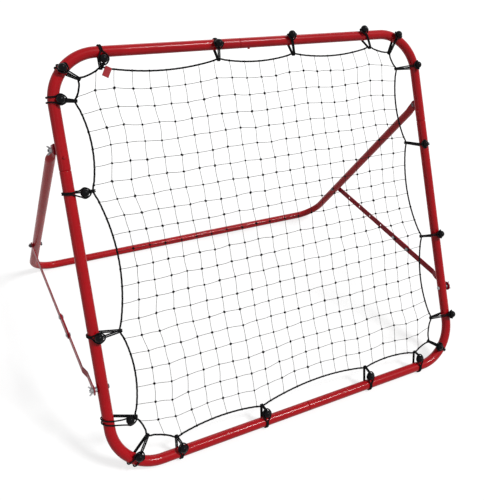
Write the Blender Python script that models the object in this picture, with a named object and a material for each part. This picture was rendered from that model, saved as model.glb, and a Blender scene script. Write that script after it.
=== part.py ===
"""Rebound net: a net hung by elastic loops in a leaning tubular frame with a folding rear leg.

Metres, +Z up, X to the right, the net facing -Y. The frame lies in a plane that leans back, so
its pieces are placed by x across, s up the plane from the bottom tube's axis, and n behind it.
"""
import math

import bmesh
import bpy
import numpy as np
from mathutils import Matrix, Vector

# Driving dimensions: the front frame
FRAME_HALF_WIDTH = 0.4875
FRAME_HEIGHT = 0.925
LEAN = math.radians(30.0)
BEND_RADIUS = 0.105
BEND_STEP = 15
TUBE_RADIUS = 0.0125
TUBE_WALL = 0.0012
SIDES = 12
GAP = 0.0003
FRAME_Y = -0.40085
CUT_PAST = 0.002

# Driving dimensions: the swaged joints and their snap buttons
SPIGOT_RADIUS = 0.0110
SPIGOT_LENGTH = 0.055
NECK_LENGTH = 0.002
SIDE_SEAM = 0.680
TOP_SEAM = -0.038
BOTTOM_SEAM = 0.0055
BUTTON_HEAD_RADIUS = 0.003
BUTTON_HOLE_RADIUS = 0.0034
BUTTON_FOOT = 0.0072
BUTTON_SHOULDER = 0.0140
BUTTON_DOME = (0.0151, 0.0021)
BUTTON_TOP = 0.0155
LEAF_HALF_LENGTH = 0.011
LEAF_HALF_WIDTH = 0.0025
LEAF_SEAT = (0.0066, 0.0078)
DRILL_REACH = 0.030
DRILL_INSIDE = 0.465
DRILL_OUTSIDE = 0.535
BUTTONS = {
    "left": (0.707, -90.0),
    "right": (0.707, -30.0),
    "top": (-0.014, 0.0),
    "bottom": (0.0418, -50.0),
}

# Driving dimensions: the rear leg and its pivots
LEG_TUBE_RADIUS = 0.011
LEG_HALF_WIDTH = 0.5025
LEG_LENGTH = 0.750
LEG_BEND_RADIUS = 0.070
LEG_END = 0.011
LEG_END_HALF_WIDE = 0.0085
FLAT_START = 0.006
FLAT_HALF_THICK = 0.0022
FLAT_HALF_WIDE = 0.0125
FLAT_LENGTH = 0.014
PRESSED_WALL = 0.0009
PRESSED_SQUARENESS = 1.6
FLAT_RUN_OUT = 0.040
PIVOT_X = 0.4975
PIVOT_S = 0.7275
PIVOT_N = 0.030
EAR_RADIUS = 0.0115
PLATE = 0.0025
BRACKET_INNER_X = 0.480

# Driving dimensions: bolts and nuts
BOLT_RADIUS = 0.003
BOLT_HOLE_RADIUS = 0.0034
HEAD_RADIUS = 0.0055
HEAD_ROUND = 0.0012
PIVOT_HEAD = 0.0042
PIN_HEAD = 0.0045
HOOK_HEAD = 0.0018
LAP_HEAD = ((0.0029, 0.0036), (0.0018, 0.0050), (0.0, 0.0050))
LAP_BOLT_END = 0.0032
PIN_END_X = 0.523
COLLAR_RADIUS = 0.0062
NUT_BORE = 0.0039
PIN_NUT = (0.0045, 0.0062)
LAP_NUT = (0.0027, 0.0058)
NUT_STACK = 0.0085
HUB = ((0.0, 0.0054), (0.0054, 0.0050), (0.0060, 0.0045))
WING = ((0.0052, 0.0012), (0.0082, 0.0036), (0.0106, 0.0074), (0.0108, 0.0090),
        (0.0097, 0.0098), (0.0078, 0.0091), (0.0056, 0.0066), (0.0038, 0.0056))
WING_HALF_THICK = 0.0012
PIVOT_NUT_TURN = math.radians(75.0)
HOOK_NUT_TURN = math.radians(50.0)

# Driving dimensions: the two-piece stays
STAY_ON_LEG = 0.548
HOOK_S = 0.200
STRIP_HALF_WIDTH = 0.009
STRIP_THICKNESS = 0.002
STRIP_BLANK = 0.0125
REAR_STRIP_X = 0.5138
FRONT_STRIP_X = 0.5115
HOOK_X = 0.5057
JOGGLE_START = 0.070
JOGGLE_END = 0.050
LAP_BOLTS = (0.3325, 0.4025)
FIRST_HOLE = 0.0727
HOLE_PITCH = 0.0616
SPARE_HOLES = 4
HOOK_RADIUS = 0.012
HOOK_SLOT_RADIUS = 0.0038
HOOK_SLOT_ANGLE = math.radians(-119.0)

# Driving dimensions: net, border cord and elastic loops
NET_GAPS = 14
STRAND = 0.001
BORDER_RADIUS = 0.0018
NET_INSET = 0.0038
ANCHOR_ROOM = 0.0085
ANCHOR_REACH = 0.045
EDGE_FADE = 0.35
SIDE_SAG = 0.085
LEVEL_SAG = 0.057
LOOP_HALF_THICK = 0.00175
LOOP_HALF_WIDTH = 0.0035
LOOP_SECTION = (
    (LOOP_HALF_THICK, LOOP_HALF_WIDTH),
    (-LOOP_HALF_THICK, LOOP_HALF_WIDTH),
    (-LOOP_HALF_THICK, -LOOP_HALF_WIDTH),
    (LOOP_HALF_THICK, -LOOP_HALF_WIDTH),
)
LOOP_END = ((0.0062, -0.0020), (0.0062, 0.0020), (0.0012, 0.0050))
BALL_RADIUS = 0.0095
BALL_TURN = (0.3, 0.2)
PULLED_FLAT = 0.0055
CLEAR_OF_ANCHOR = 0.008
TAG_CORNER = (-0.3630, 0.8900)
TAG_HALF_WIDTH = 0.0075
TAG_LENGTH = 0.024
TAG_FACES = (-0.0042, -0.0030)

# The cord's corner anchors, as x and s, and how far round its bend each corner loop goes
CORNERS = {
    "bottom_left": ((-0.409, 0.063), 52.0),
    "bottom_right": ((0.416, 0.059), 45.0),
    "top_right": ((0.407, 0.875), 60.0),
    "top_left": ((-0.428, 0.871), 42.0),
}
CORNER_SIGNS = {
    "bottom_left": (-1, -1),
    "bottom_right": (1, -1),
    "top_right": (1, 1),
    "top_left": (-1, 1),
}

# The cord's anchors along each side, as x and s, with each loop's place along its tube
SIDE_LOOPS = {
    "bottom": (((-0.343, 0.037), -0.343), ((-0.120, 0.040), -0.120),
               ((0.193, 0.047), 0.193), ((0.363, 0.041), 0.363)),
    "right": (((0.435, 0.123), 0.122), ((0.437, 0.359), 0.350),
              ((0.425, 0.626), 0.612), ((0.424, 0.830), 0.829)),
    "top": (((-0.377, 0.891), -0.375), ((-0.097, 0.891), -0.100),
            ((0.108, 0.891), 0.103), ((0.344, 0.894), 0.328)),
    "left": (((-0.428, 0.114), 0.130), ((-0.430, 0.313), 0.321),
             ((-0.437, 0.628), 0.632), ((-0.443, 0.824), 0.830)),
}

# Each ball's centre, from its loop's place on the tube: towards the net, behind, and sideways
BALLS = {
    "bottom": ((0.0119, -0.0191, -0.006), (0.0206, -0.0110, -0.005),
               (0.0224, -0.0100, -0.007), (0.0225, -0.0100, -0.007)),
    "right": ((-0.0080, -0.0210, 0.0), (-0.0030, -0.0223, -0.007),
              (0.0108, -0.0198, 0.0), (0.0031, -0.0223, -0.004)),
    "top": ((0.0172, -0.0146, 0.005), (0.0002, -0.0225, 0.0),
            (-0.0111, -0.0196, 0.0), (-0.0145, -0.0172, 0.0025)),
    "left": ((0.0458, -0.0070, -0.006), (0.0064, -0.0216, -0.007),
             (0.0306, -0.0090, -0.003), (0.0113, -0.0194, 0.0)),
}
CORNER_BALLS = {
    "bottom_left": (0.0099, -0.0202, -0.0023),
    "bottom_right": (0.0176, -0.0160, 0.0020),
    "top_right": (-0.0047, -0.0220, -0.0087),
    "top_left": (-0.0031, -0.0223, 0.0026),
}

# Worked out from the driving dimensions
FRAME_Z = TUBE_RADIUS + GAP + 2.0 * LOOP_HALF_THICK
ACROSS = Vector((1.0, 0.0, 0.0))
UP_FRAME = Vector((0.0, math.sin(LEAN), math.cos(LEAN)))
BEHIND = Vector((0.0, math.cos(LEAN), -math.sin(LEAN)))
FOOT_Z = LEG_TUBE_RADIUS * math.cos(math.pi / SIDES)


def on_frame(x, s, n=0.0):
    """The world place of a point given across, up and behind the leaning frame."""
    return Vector((x, FRAME_Y, FRAME_Z)) + UP_FRAME * s + BEHIND * n


PIVOT = on_frame(0.0, PIVOT_S, PIVOT_N)
LEG_ANGLE = math.acos((PIVOT.z - FOOT_Z) / LEG_LENGTH)
LEG_DOWN = Vector((0.0, math.sin(LEG_ANGLE), -math.cos(LEG_ANGLE)))
LEG_FACE = Vector((0.0, math.cos(LEG_ANGLE), math.sin(LEG_ANGLE)))
STAY_PIN = PIVOT + LEG_DOWN * STAY_ON_LEG
HOOK = on_frame(0.0, HOOK_S)
STAY_LENGTH = (HOOK - STAY_PIN).length
STAY_ALONG = (HOOK - STAY_PIN).normalized()
STAY_UP = STAY_ALONG.cross(ACROSS)


# Materials

def finish(name, colour, roughness, metallic):
    material = bpy.data.materials.new(name)
    material.use_nodes = True
    shader = material.node_tree.nodes["Principled BSDF"]
    shader.inputs["Base Color"].default_value = (*colour, 1.0)
    shader.inputs["Roughness"].default_value = roughness
    shader.inputs["Metallic"].default_value = metallic
    return material


def red_paint(name):
    return finish(name + "_paint", (0.42, 0.013, 0.018), 0.38, 0.0)


def dark_paint(name):
    return finish(name + "_paint", (0.16, 0.012, 0.018), 0.42, 0.0)


def zinc(name):
    return finish(name + "_zinc", (0.34, 0.34, 0.35), 0.35, 1.0)


def black_elastic(name):
    return finish(name + "_elastic", (0.012, 0.012, 0.014), 0.55, 0.0)


def twine(name):
    return finish(name + "_twine", (0.02, 0.02, 0.022), 0.8, 0.0)


def red_cloth(name):
    return finish(name + "_cloth", (0.45, 0.02, 0.03), 0.85, 0.0)


# Mesh helpers

def make_object(name, points, faces, material=None):
    """A closed mesh object, its faces turned outwards and its round sides shaded smooth."""
    mesh = bpy.data.meshes.new(name)
    mesh.from_pydata([tuple(p) for p in points], [], faces)
    working = bmesh.new()
    working.from_mesh(mesh)
    bmesh.ops.recalc_face_normals(working, faces=working.faces)
    working.to_mesh(mesh)
    working.free()
    obj = bpy.data.objects.new(name, mesh)
    bpy.context.scene.collection.objects.link(obj)
    if material is not None:
        mesh.materials.append(material)
    shade(mesh)
    return obj


def shade(mesh):
    mesh.shade_smooth()
    mesh.set_sharp_from_angle(angle=math.radians(35.0))


def combine(obj, tool, operation):
    """Cut, join or intersect an object with a tool object, which is then removed."""
    tool.hide_render = True
    tool.display_type = "WIRE"
    modifier = obj.modifiers.new("combine", "BOOLEAN")
    modifier.operation = operation
    modifier.solver = "EXACT"
    modifier.object = tool
    graph = bpy.context.evaluated_depsgraph_get()
    old = obj.data
    obj.data = bpy.data.meshes.new_from_object(obj.evaluated_get(graph))
    obj.modifiers.remove(modifier)
    obj.data.name = obj.name
    bpy.data.meshes.remove(old)
    bpy.data.objects.remove(tool)
    shade(obj.data)
    return obj


def ring_turns(sides, phase):
    return [phase + 2.0 * math.pi * k / sides for k in range(sides)]


def across_directions(points, normal, closed):
    """At each point of a flat path, the sideways direction, stretched where the path turns."""
    count = len(points)
    directions = []
    for i, point in enumerate(points):
        ahead = points[(i + 1) % count] - point
        behind = point - points[i - 1]
        if not closed and i == 0:
            behind = ahead
        if not closed and i == count - 1:
            ahead = behind
        ahead = ahead.normalized()
        behind = behind.normalized()
        along = (ahead + behind).normalized()
        directions.append(normal.cross(along).normalized() / along.dot(ahead))
    return directions


def rings_along(points, radii, normal, sides, phase):
    """Rings of points round a flat path, mitred at its turns.

    A radius may be a pair, half the thickness and half the width of a tube pressed flat.
    """
    rings = []
    directions = across_directions(points, normal, False)
    for point, radius, across in zip(points, radii, directions):
        for turn in ring_turns(sides, phase):
            if isinstance(radius, tuple):
                thick, wide = radius
                level = max(-1.0, min(1.0, PRESSED_SQUARENESS * math.cos(turn)))
                rings.append(point + across * level * thick + normal * math.sin(turn) * wide)
            else:
                offset = across * math.cos(turn) + normal * math.sin(turn)
                rings.append(point + offset * radius)
    return rings


def band_faces(first, second, sides):
    """The quads between two rings, by the index of each ring's first point."""
    return [(first + j, first + (j + 1) % sides, second + (j + 1) % sides, second + j)
            for j in range(sides)]


def closed_cord(name, points, section, normal, material):
    """A cord whose path closes on itself, its section given across the path and beside it."""
    points = [Vector(p) for p in points]
    sides = len(section)
    rings = []
    for point, across in zip(points, across_directions(points, normal, True)):
        rings += [point + across * a + normal * b for a, b in section]
    faces = []
    for i in range(len(points)):
        faces += band_faces(i * sides, ((i + 1) % len(points)) * sides, sides)
    return make_object(name, rings, faces, material)


def hollow_tube(name, stations, normal, material, phase=math.pi / SIDES):
    """An open-ended tube through stations of a point, an outer and an inner radius."""
    points = [Vector(point) for point, _, _ in stations]
    outer = rings_along(points, [r for _, r, _ in stations], normal, SIDES, phase)
    inner = rings_along(points, [r for _, _, r in stations], normal, SIDES, phase)
    total = len(outer)
    faces = []
    for i in range(len(points) - 1):
        faces += band_faces(i * SIDES, (i + 1) * SIDES, SIDES)
        faces += band_faces(total + (i + 1) * SIDES, total + i * SIDES, SIDES)
    faces += band_faces(total, 0, SIDES)
    faces += band_faces(total - SIDES, 2 * total - SIDES, SIDES)
    return make_object(name, outer + inner, faces, material)


def turned(name, origin, axis, profile, sides, material):
    """A solid of revolution through (height, radius) points.

    A profile that starts on the axis is solid, and any other is a ring with a bore.
    """
    axis = Vector(axis).normalized()
    side = axis.orthogonal().normalized()
    other = axis.cross(side)
    solid = profile[0][1] == 0.0
    rows = profile[1:-1] if solid else profile
    points = []
    for height, radius in rows:
        for turn in ring_turns(sides, math.pi / sides):
            offset = side * math.cos(turn) + other * math.sin(turn)
            points.append(origin + axis * height + offset * radius)
    faces = []
    for i in range(len(rows) - 1):
        faces += band_faces(i * sides, (i + 1) * sides, sides)
    if solid:
        faces.append(tuple(range(sides)))
        faces.append(tuple(range(len(points) - sides, len(points))))
    else:
        faces += band_faces((len(rows) - 1) * sides, 0, sides)
    return make_object(name, points, faces, material)


def prism(name, outline, origin, first, second, along, low, high, material=None):
    """A flat outline in two directions, extruded along a third between two distances."""
    count = len(outline)
    points = []
    for distance in (low, high):
        for a, b in outline:
            points.append(origin + first * a + second * b + along * distance)
    faces = band_faces(0, count, count)
    faces.append(tuple(range(count)))
    faces.append(tuple(range(count, 2 * count)))
    return make_object(name, points, faces, material)


def rods(name, places, radius, sides=8):
    """Round cutters between pairs of points, in one mesh."""
    points = []
    faces = []
    for start, end in places:
        axis = (end - start).normalized()
        side = axis.orthogonal().normalized()
        other = axis.cross(side)
        base = len(points)
        for centre in (start, end):
            for turn in ring_turns(sides, math.pi / sides):
                points.append(centre + (side * math.cos(turn) + other * math.sin(turn)) * radius)
        faces += band_faces(base, base + sides, sides)
        faces.append(tuple(range(base, base + sides)))
        faces.append(tuple(range(base + sides, base + 2 * sides)))
    return make_object(name, points, faces)


def cross_rod(name, place, low, high, radius=BOLT_HOLE_RADIUS):
    """One round cutter along X through a place in the side view."""
    return rods(name, [(place + ACROSS * low, place + ACROSS * high)], radius)


def arc(centre, radius, start, end, steps):
    """Points on an arc, as pairs, from one angle in degrees to another."""
    turns = np.radians(np.linspace(start, end, steps + 1))
    return [(centre[0] + radius * math.cos(t), centre[1] + radius * math.sin(t)) for t in turns]


def place_origin(obj, place):
    """Move an object's origin to a place, such as its joint's axis, without moving its shape."""
    obj.data.transform(Matrix.Translation(-place))
    obj.location = place


def carry(obj, parent):
    obj.parent = parent
    obj.matrix_parent_inverse = Matrix.Translation(parent.location).inverted()


def joint_axis(name, place):
    empty = bpy.data.objects.new(name, None)
    empty.location = place
    empty.empty_display_size = 0.03
    bpy.context.scene.collection.objects.link(empty)
    return empty


# Front frame

def bend_centre(corner):
    side, level = CORNER_SIGNS[corner]
    x = side * (FRAME_HALF_WIDTH - BEND_RADIUS)
    s = BEND_RADIUS if level < 0 else FRAME_HEIGHT - BEND_RADIUS
    return x, s


def bend_point(corner, degrees):
    """A place on a corner's bend, 0 at its side tube and 90 at its top or bottom tube."""
    side, level = CORNER_SIGNS[corner]
    x, s = bend_centre(corner)
    turn = math.radians(degrees)
    return x + side * BEND_RADIUS * math.cos(turn), s + level * BEND_RADIUS * math.sin(turn)


def quarter_tube(name, corner, middle_seam, male_side, male_middle):
    """One bent quarter of the frame, from its side seam round its corner to its middle seam."""
    side, level = CORNER_SIGNS[corner]
    full = (TUBE_RADIUS, TUBE_RADIUS - TUBE_WALL)
    swaged = (SPIGOT_RADIUS, SPIGOT_RADIUS - TUBE_WALL)
    edge = side * FRAME_HALF_WIDTH
    level_s = 0.0 if level < 0 else FRAME_HEIGHT
    stations = []
    if male_side:
        stations.append((on_frame(edge, SIDE_SEAM - level * SPIGOT_LENGTH), *swaged))
        stations.append((on_frame(edge, SIDE_SEAM - level * GAP), *swaged))
        stations.append((on_frame(edge, SIDE_SEAM + level * NECK_LENGTH), *full))
    else:
        stations.append((on_frame(edge, SIDE_SEAM), *full))
    for degrees in range(0, 91, BEND_STEP):
        stations.append((on_frame(*bend_point(corner, degrees)), *full))
    if male_middle:
        stations.append((on_frame(middle_seam + side * NECK_LENGTH, level_s), *full))
        stations.append((on_frame(middle_seam - side * GAP, level_s), *swaged))
        stations.append((on_frame(middle_seam - side * SPIGOT_LENGTH, level_s), *swaged))
    else:
        stations.append((on_frame(middle_seam, level_s), *full))
    return hollow_tube(name, stations, BEHIND, red_paint(name))


def tube_place(side, along):
    """The axis point and the direction towards the net at a distance along one frame tube."""
    if side == "left":
        return on_frame(-FRAME_HALF_WIDTH, along), ACROSS
    if side == "right":
        return on_frame(FRAME_HALF_WIDTH, along), -ACROSS
    if side == "top":
        return on_frame(along, FRAME_HEIGHT), -UP_FRAME
    return on_frame(along, 0.0), UP_FRAME


def button_direction(side):
    along, degrees = BUTTONS[side]
    centre, inward = tube_place(side, along)
    turn = math.radians(degrees)
    return centre, inward * math.cos(turn) + BEHIND * math.sin(turn)


def drill_button(obj, side):
    centre, direction = button_direction(side)
    cutter = rods("drill", [(centre, centre + direction * DRILL_REACH)], BUTTON_HOLE_RADIUS)
    combine(obj, cutter, "DIFFERENCE")


def build_frame():
    upper_left = quarter_tube("frame_upper_left", "top_left", TOP_SEAM, False, True)
    upper_right = quarter_tube("frame_upper_right", "top_right", TOP_SEAM, False, False)
    lower_left = quarter_tube("frame_lower_left", "bottom_left", BOTTOM_SEAM, True, True)
    lower_right = quarter_tube("frame_lower_right", "bottom_right", BOTTOM_SEAM, True, False)
    joined_by = {
        "left": (upper_left, lower_left),
        "right": (upper_right, lower_right),
        "top": (upper_left, upper_right),
        "bottom": (lower_left, lower_right),
    }
    for side, tubes in joined_by.items():
        for tube in tubes:
            drill_button(tube, side)
    for tube, side in ((lower_left, -1), (lower_right, 1)):
        cutter = cross_rod("drill", HOOK, side * DRILL_INSIDE, side * DRILL_OUTSIDE)
        combine(tube, cutter, "DIFFERENCE")


def build_button(side):
    """A domed button on the leaf that springs it out through both tube walls."""
    name = "snap_button_" + side
    centre, direction = button_direction(side)
    along = UP_FRAME if side in ("left", "right") else ACROSS
    crosswise = direction.cross(along)
    profile = [(BUTTON_FOOT, 0.0), (BUTTON_FOOT, BUTTON_HEAD_RADIUS),
               (BUTTON_SHOULDER, BUTTON_HEAD_RADIUS), BUTTON_DOME, (BUTTON_TOP, 0.0)]
    head = turned(name, centre, direction, profile, 12, red_paint(name))
    low, high = LEAF_SEAT
    leaf_outline = [(-LEAF_HALF_LENGTH, low), (LEAF_HALF_LENGTH, low),
                    (LEAF_HALF_LENGTH, high), (-LEAF_HALF_LENGTH, high)]
    leaf = prism("leaf", leaf_outline, centre, along, direction, crosswise,
                 -LEAF_HALF_WIDTH, LEAF_HALF_WIDTH)
    combine(head, leaf, "UNION")
    place_origin(head, centre)


# Rear leg and pivots

def build_leg(axis):
    """The bent U tube: two arms down from the pivots and a cross tube on the floor."""
    name = "rear_leg"
    radii = (LEG_TUBE_RADIUS, LEG_TUBE_RADIUS - TUBE_WALL)
    pressed = ((-LEG_END, LEG_END_HALF_WIDE), (-FLAT_START, FLAT_HALF_WIDE),
               (FLAT_LENGTH, FLAT_HALF_WIDE))
    corner_x = LEG_HALF_WIDTH - LEG_BEND_RADIUS
    corner_down = LEG_LENGTH - LEG_BEND_RADIUS
    path = arc((-corner_x, corner_down), LEG_BEND_RADIUS, 180.0, 90.0, 5)
    path += arc((corner_x, corner_down), LEG_BEND_RADIUS, 90.0, 0.0, 5)
    stations = [(PIVOT + ACROSS * x + LEG_DOWN * down, *radii) for x, down in path]
    for side in (-1, 1):
        arm = [(PIVOT + ACROSS * side * PIVOT_X + LEG_DOWN * down, (FLAT_HALF_THICK, wide),
                (FLAT_HALF_THICK - PRESSED_WALL, wide - TUBE_WALL)) for down, wide in pressed]
        arm.append((PIVOT + ACROSS * side * LEG_HALF_WIDTH + LEG_DOWN * FLAT_RUN_OUT, *radii))
        stations = arm + stations if side < 0 else stations + arm[::-1]
    across_foot = LEG_FACE.cross(ACROSS)
    floor_turn = math.atan2(-LEG_FACE.z, -across_foot.z)
    leg = hollow_tube(name, stations, LEG_FACE, red_paint(name), floor_turn + math.pi / SIDES)
    for side in (-1, 1):
        for place in (PIVOT, STAY_PIN):
            cutter = cross_rod("drill", place, side * DRILL_INSIDE, side * DRILL_OUTSIDE)
            combine(leg, cutter, "DIFFERENCE")
    place_origin(leg, PIVOT)
    carry(leg, axis)


def build_bracket(side, word):
    """A channel behind the side tube, its two ears holding the leg's pressed end."""
    name = "pivot_bracket_" + word
    inner = PIVOT_X - FLAT_HALF_THICK - GAP
    outer = PIVOT_X + FLAT_HALF_THICK + GAP
    base = TUBE_RADIUS + GAP
    floor = base + PLATE
    tip = PIVOT_N + EAR_RADIUS + CUT_PAST
    channel = [(BRACKET_INNER_X, base), (outer + PLATE, base), (outer + PLATE, tip),
               (outer, tip), (outer, floor), (inner, floor), (inner, tip), (inner - PLATE, tip),
               (inner - PLATE, floor), (BRACKET_INNER_X, floor)]
    start = on_frame(0.0, PIVOT_S)
    bracket = prism(name, channel, start, ACROSS * side, BEHIND, UP_FRAME,
                    -EAR_RADIUS - CUT_PAST, EAR_RADIUS + CUT_PAST, dark_paint(name))
    ear = [(-EAR_RADIUS, base - CUT_PAST), (EAR_RADIUS, base - CUT_PAST)]
    ear += arc((0.0, PIVOT_N), EAR_RADIUS, 0.0, 180.0, 10)
    shape = prism("ear", ear, start, UP_FRAME, BEHIND, ACROSS * side, DRILL_INSIDE,
                  DRILL_OUTSIDE)
    combine(bracket, shape, "INTERSECT")
    cutter = cross_rod("drill", PIVOT, side * DRILL_INSIDE, side * DRILL_OUTSIDE)
    combine(bracket, cutter, "DIFFERENCE")


# Fasteners, all along X, each given by its distances from the middle of the object

def bolt(name, place, side, head, shank_end, collar=None):
    """A round-headed bolt with its head inwards, and if wanted a collar along its shank."""
    head_low, head_high = head
    profile = [(head_low, 0.0), (head_low, HEAD_RADIUS * 0.75),
               (head_low + HEAD_ROUND, HEAD_RADIUS), (head_high, HEAD_RADIUS),
               (head_high, BOLT_RADIUS)]
    if collar:
        low, high = collar
        profile += [(low, BOLT_RADIUS), (low, COLLAR_RADIUS), (high, COLLAR_RADIUS),
                    (high, BOLT_RADIUS)]
    profile += [(shank_end, BOLT_RADIUS), (shank_end, 0.0)]
    return turned(name, place, ACROSS * side, profile, 12, zinc(name))


def nut(name, place, side, low, size):
    height, radius = size
    profile = [(low, NUT_BORE), (low, radius), (low + height, radius), (low + height, NUT_BORE)]
    return turned(name, place, ACROSS * side, profile, 6, zinc(name))


def wing_nut(name, place, side, seat, wing_turn):
    """A hub with two raised wings, its flat seat at a distance from the middle."""
    outline = [*WING, *[(-a, b) for a, b in reversed(WING)]]
    top = seat + HUB[-1][0]
    hub = [(seat, 0.0), *[(seat + height, radius) for height, radius in HUB], (top, 0.0)]
    axis = ACROSS * side
    piece = turned(name, place, axis, hub, 12, zinc(name))
    along = Vector((0.0, math.cos(wing_turn), math.sin(wing_turn)))
    wings = prism("wings", outline, place + axis * seat, along, axis, along.cross(axis),
                  -WING_HALF_THICK, WING_HALF_THICK)
    combine(piece, wings, "UNION")
    bore = cross_rod("bore", place, side * (seat - CUT_PAST), side * (top + CUT_PAST))
    combine(piece, bore, "DIFFERENCE")
    place_origin(piece, place + axis * seat)
    return piece


def build_pivot(side, word, leg_axis):
    build_bracket(side, word)
    inner_ear = PIVOT_X - FLAT_HALF_THICK - GAP - PLATE
    outer_ear = PIVOT_X + FLAT_HALF_THICK + GAP + PLATE
    bolt("pivot_bolt_" + word, PIVOT, side, (inner_ear - PIVOT_HEAD, inner_ear - GAP),
         outer_ear + NUT_STACK)
    wing_nut("pivot_wing_nut_" + word, PIVOT, side, outer_ear + GAP, PIVOT_NUT_TURN)
    arm = LEG_HALF_WIDTH - LEG_TUBE_RADIUS
    strip = REAR_STRIP_X + STRIP_THICKNESS
    pin = bolt("stay_pin_" + word, STAY_PIN, side, (arm - PIN_HEAD, arm - GAP), PIN_END_X)
    cap = nut("stay_nut_" + word, STAY_PIN, side, strip + GAP, PIN_NUT)
    for piece in (pin, cap):
        carry(piece, leg_axis)


# Stays

def strip_place(side, x):
    return STAY_PIN + ACROSS * side * x


def strip_drill(side, spots):
    """Cutters through a strip at distances from its pin."""
    ends = [(strip_place(side, DRILL_INSIDE) + STAY_ALONG * distance,
             strip_place(side, DRILL_OUTSIDE) + STAY_ALONG * distance) for distance in spots]
    return rods("drill", ends, BOLT_HOLE_RADIUS)


def build_rear_strip(side, word, axis):
    """The holed rear strip of a stay, from its pin on the leg to the second lap bolt."""
    name = "stay_rear_" + word
    outline = arc((0.0, 0.0), STRIP_HALF_WIDTH, 270.0, 90.0, 8)
    outline += arc((LAP_BOLTS[1], 0.0), STRIP_HALF_WIDTH, 90.0, -90.0, 8)
    strip = prism(name, outline, strip_place(side, REAR_STRIP_X), STAY_ALONG, STAY_UP,
                  ACROSS * side, 0.0, STRIP_THICKNESS, dark_paint(name))
    spots = [0.0, *LAP_BOLTS]
    spots += [FIRST_HOLE + HOLE_PITCH * k for k in range(SPARE_HOLES)]
    combine(strip, strip_drill(side, spots), "DIFFERENCE")
    place_origin(strip, STAY_PIN)
    carry(strip, axis)


def build_front_strip(side, word, axis):
    """The front strip, stepped in to the frame and ending in a hook over the frame's bolt."""
    name = "stay_front_" + word
    start = LAP_BOLTS[0] - STRIP_HALF_WIDTH
    step_from = STAY_LENGTH - JOGGLE_START
    step_to = STAY_LENGTH - JOGGLE_END
    end = STAY_LENGTH + HOOK_RADIUS
    low = [(start, FRONT_STRIP_X), (step_from, FRONT_STRIP_X), (step_to, HOOK_X), (end, HOOK_X)]
    high = [(d, x + STRIP_THICKNESS) for d, x in reversed(low)]
    strip = prism(name, low + high, STAY_PIN, STAY_ALONG, ACROSS * side, STAY_UP,
                  -STRIP_BLANK, STRIP_BLANK, dark_paint(name))
    outline = arc((LAP_BOLTS[0], 0.0), STRIP_HALF_WIDTH, 270.0, 90.0, 8)
    flare = math.degrees(math.asin(STRIP_HALF_WIDTH / HOOK_RADIUS))
    outline += arc((STAY_LENGTH, 0.0), HOOK_RADIUS, 180.0 - flare, flare - 180.0, 12)
    shape = prism("shape", outline, STAY_PIN, STAY_ALONG, STAY_UP, ACROSS * side,
                  DRILL_INSIDE, DRILL_OUTSIDE)
    combine(strip, shape, "INTERSECT")
    combine(strip, strip_drill(side, LAP_BOLTS), "DIFFERENCE")
    slot = arc((0.0, 0.0), HOOK_SLOT_RADIUS, 90.0, 270.0, 6)
    past = HOOK_RADIUS + CUT_PAST
    slot += [(past, -HOOK_SLOT_RADIUS), (past, HOOK_SLOT_RADIUS)]
    opening = STAY_ALONG * math.cos(HOOK_SLOT_ANGLE) + STAY_UP * math.sin(HOOK_SLOT_ANGLE)
    beside = opening.cross(ACROSS)
    mouth = prism("mouth", slot, HOOK, opening, beside, ACROSS * side, DRILL_INSIDE,
                  DRILL_OUTSIDE)
    combine(strip, mouth, "DIFFERENCE")
    place_origin(strip, STAY_PIN)
    carry(strip, axis)


def build_stay(side, word, leg_axis):
    axis = joint_axis("stay_axis_" + word, STAY_PIN)
    carry(axis, leg_axis)
    build_rear_strip(side, word, axis)
    build_front_strip(side, word, axis)
    outside = REAR_STRIP_X + STRIP_THICKNESS + GAP
    inside = FRONT_STRIP_X - GAP
    for number, distance in enumerate(LAP_BOLTS, 1):
        place = STAY_PIN + STAY_ALONG * distance
        head = [(outside + LAP_HEAD[0][0], 0.0),
                *[(outside + height, radius) for height, radius in LAP_HEAD],
                (outside, BOLT_RADIUS), (inside - LAP_BOLT_END, BOLT_RADIUS),
                (inside - LAP_BOLT_END, 0.0)]
        name = "lap_bolt_%s_%d" % (word, number)
        carry(turned(name, place, ACROSS * side, head, 12, zinc(name)), axis)
        name = "lap_nut_%s_%d" % (word, number)
        carry(nut(name, place, side, inside - LAP_NUT[0], LAP_NUT), axis)


def build_hook_bolt(side, word):
    tube_inside = FRAME_HALF_WIDTH - TUBE_RADIUS - GAP
    tube_outside = FRAME_HALF_WIDTH + TUBE_RADIUS + GAP
    seat = HOOK_X + STRIP_THICKNESS + GAP
    bolt("hook_bolt_" + word, HOOK, side, (tube_inside - HOOK_HEAD, tube_inside),
         seat + NUT_STACK - GAP, collar=(tube_outside, HOOK_X - GAP))
    wing_nut("hook_wing_nut_" + word, HOOK, side, seat, HOOK_NUT_TURN)


# Net and border cord

def side_chain(side):
    """The anchors along one side with its two corners, and which of x and s runs along it."""
    ends = {"bottom": ("bottom_left", "bottom_right"), "top": ("top_left", "top_right"),
            "left": ("bottom_left", "top_left"), "right": ("bottom_right", "top_right")}[side]
    run = 0 if side in ("bottom", "top") else 1
    inner = [anchor for anchor, _ in SIDE_LOOPS[side]]
    return [CORNERS[ends[0]][0], *inner, CORNERS[ends[1]][0]], run


def side_place(side, along):
    """The border's place at a distance along its side: straight pulls with a sag between."""
    chain, run = side_chain(side)
    towards_net = 1.0 if side in ("bottom", "left") else -1.0
    sag = LEVEL_SAG if run == 0 else SIDE_SAG
    for first, last in zip(chain, chain[1:]):
        if along <= last[run] + 1e-9:
            break
    span = last[run] - first[run]
    part = (along - first[run]) / span
    across = first[1 - run] + part * (last[1 - run] - first[1 - run])
    across += towards_net * sag * span * 4.0 * part * (1.0 - part)
    return (along, across) if run == 0 else (across, along)


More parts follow.
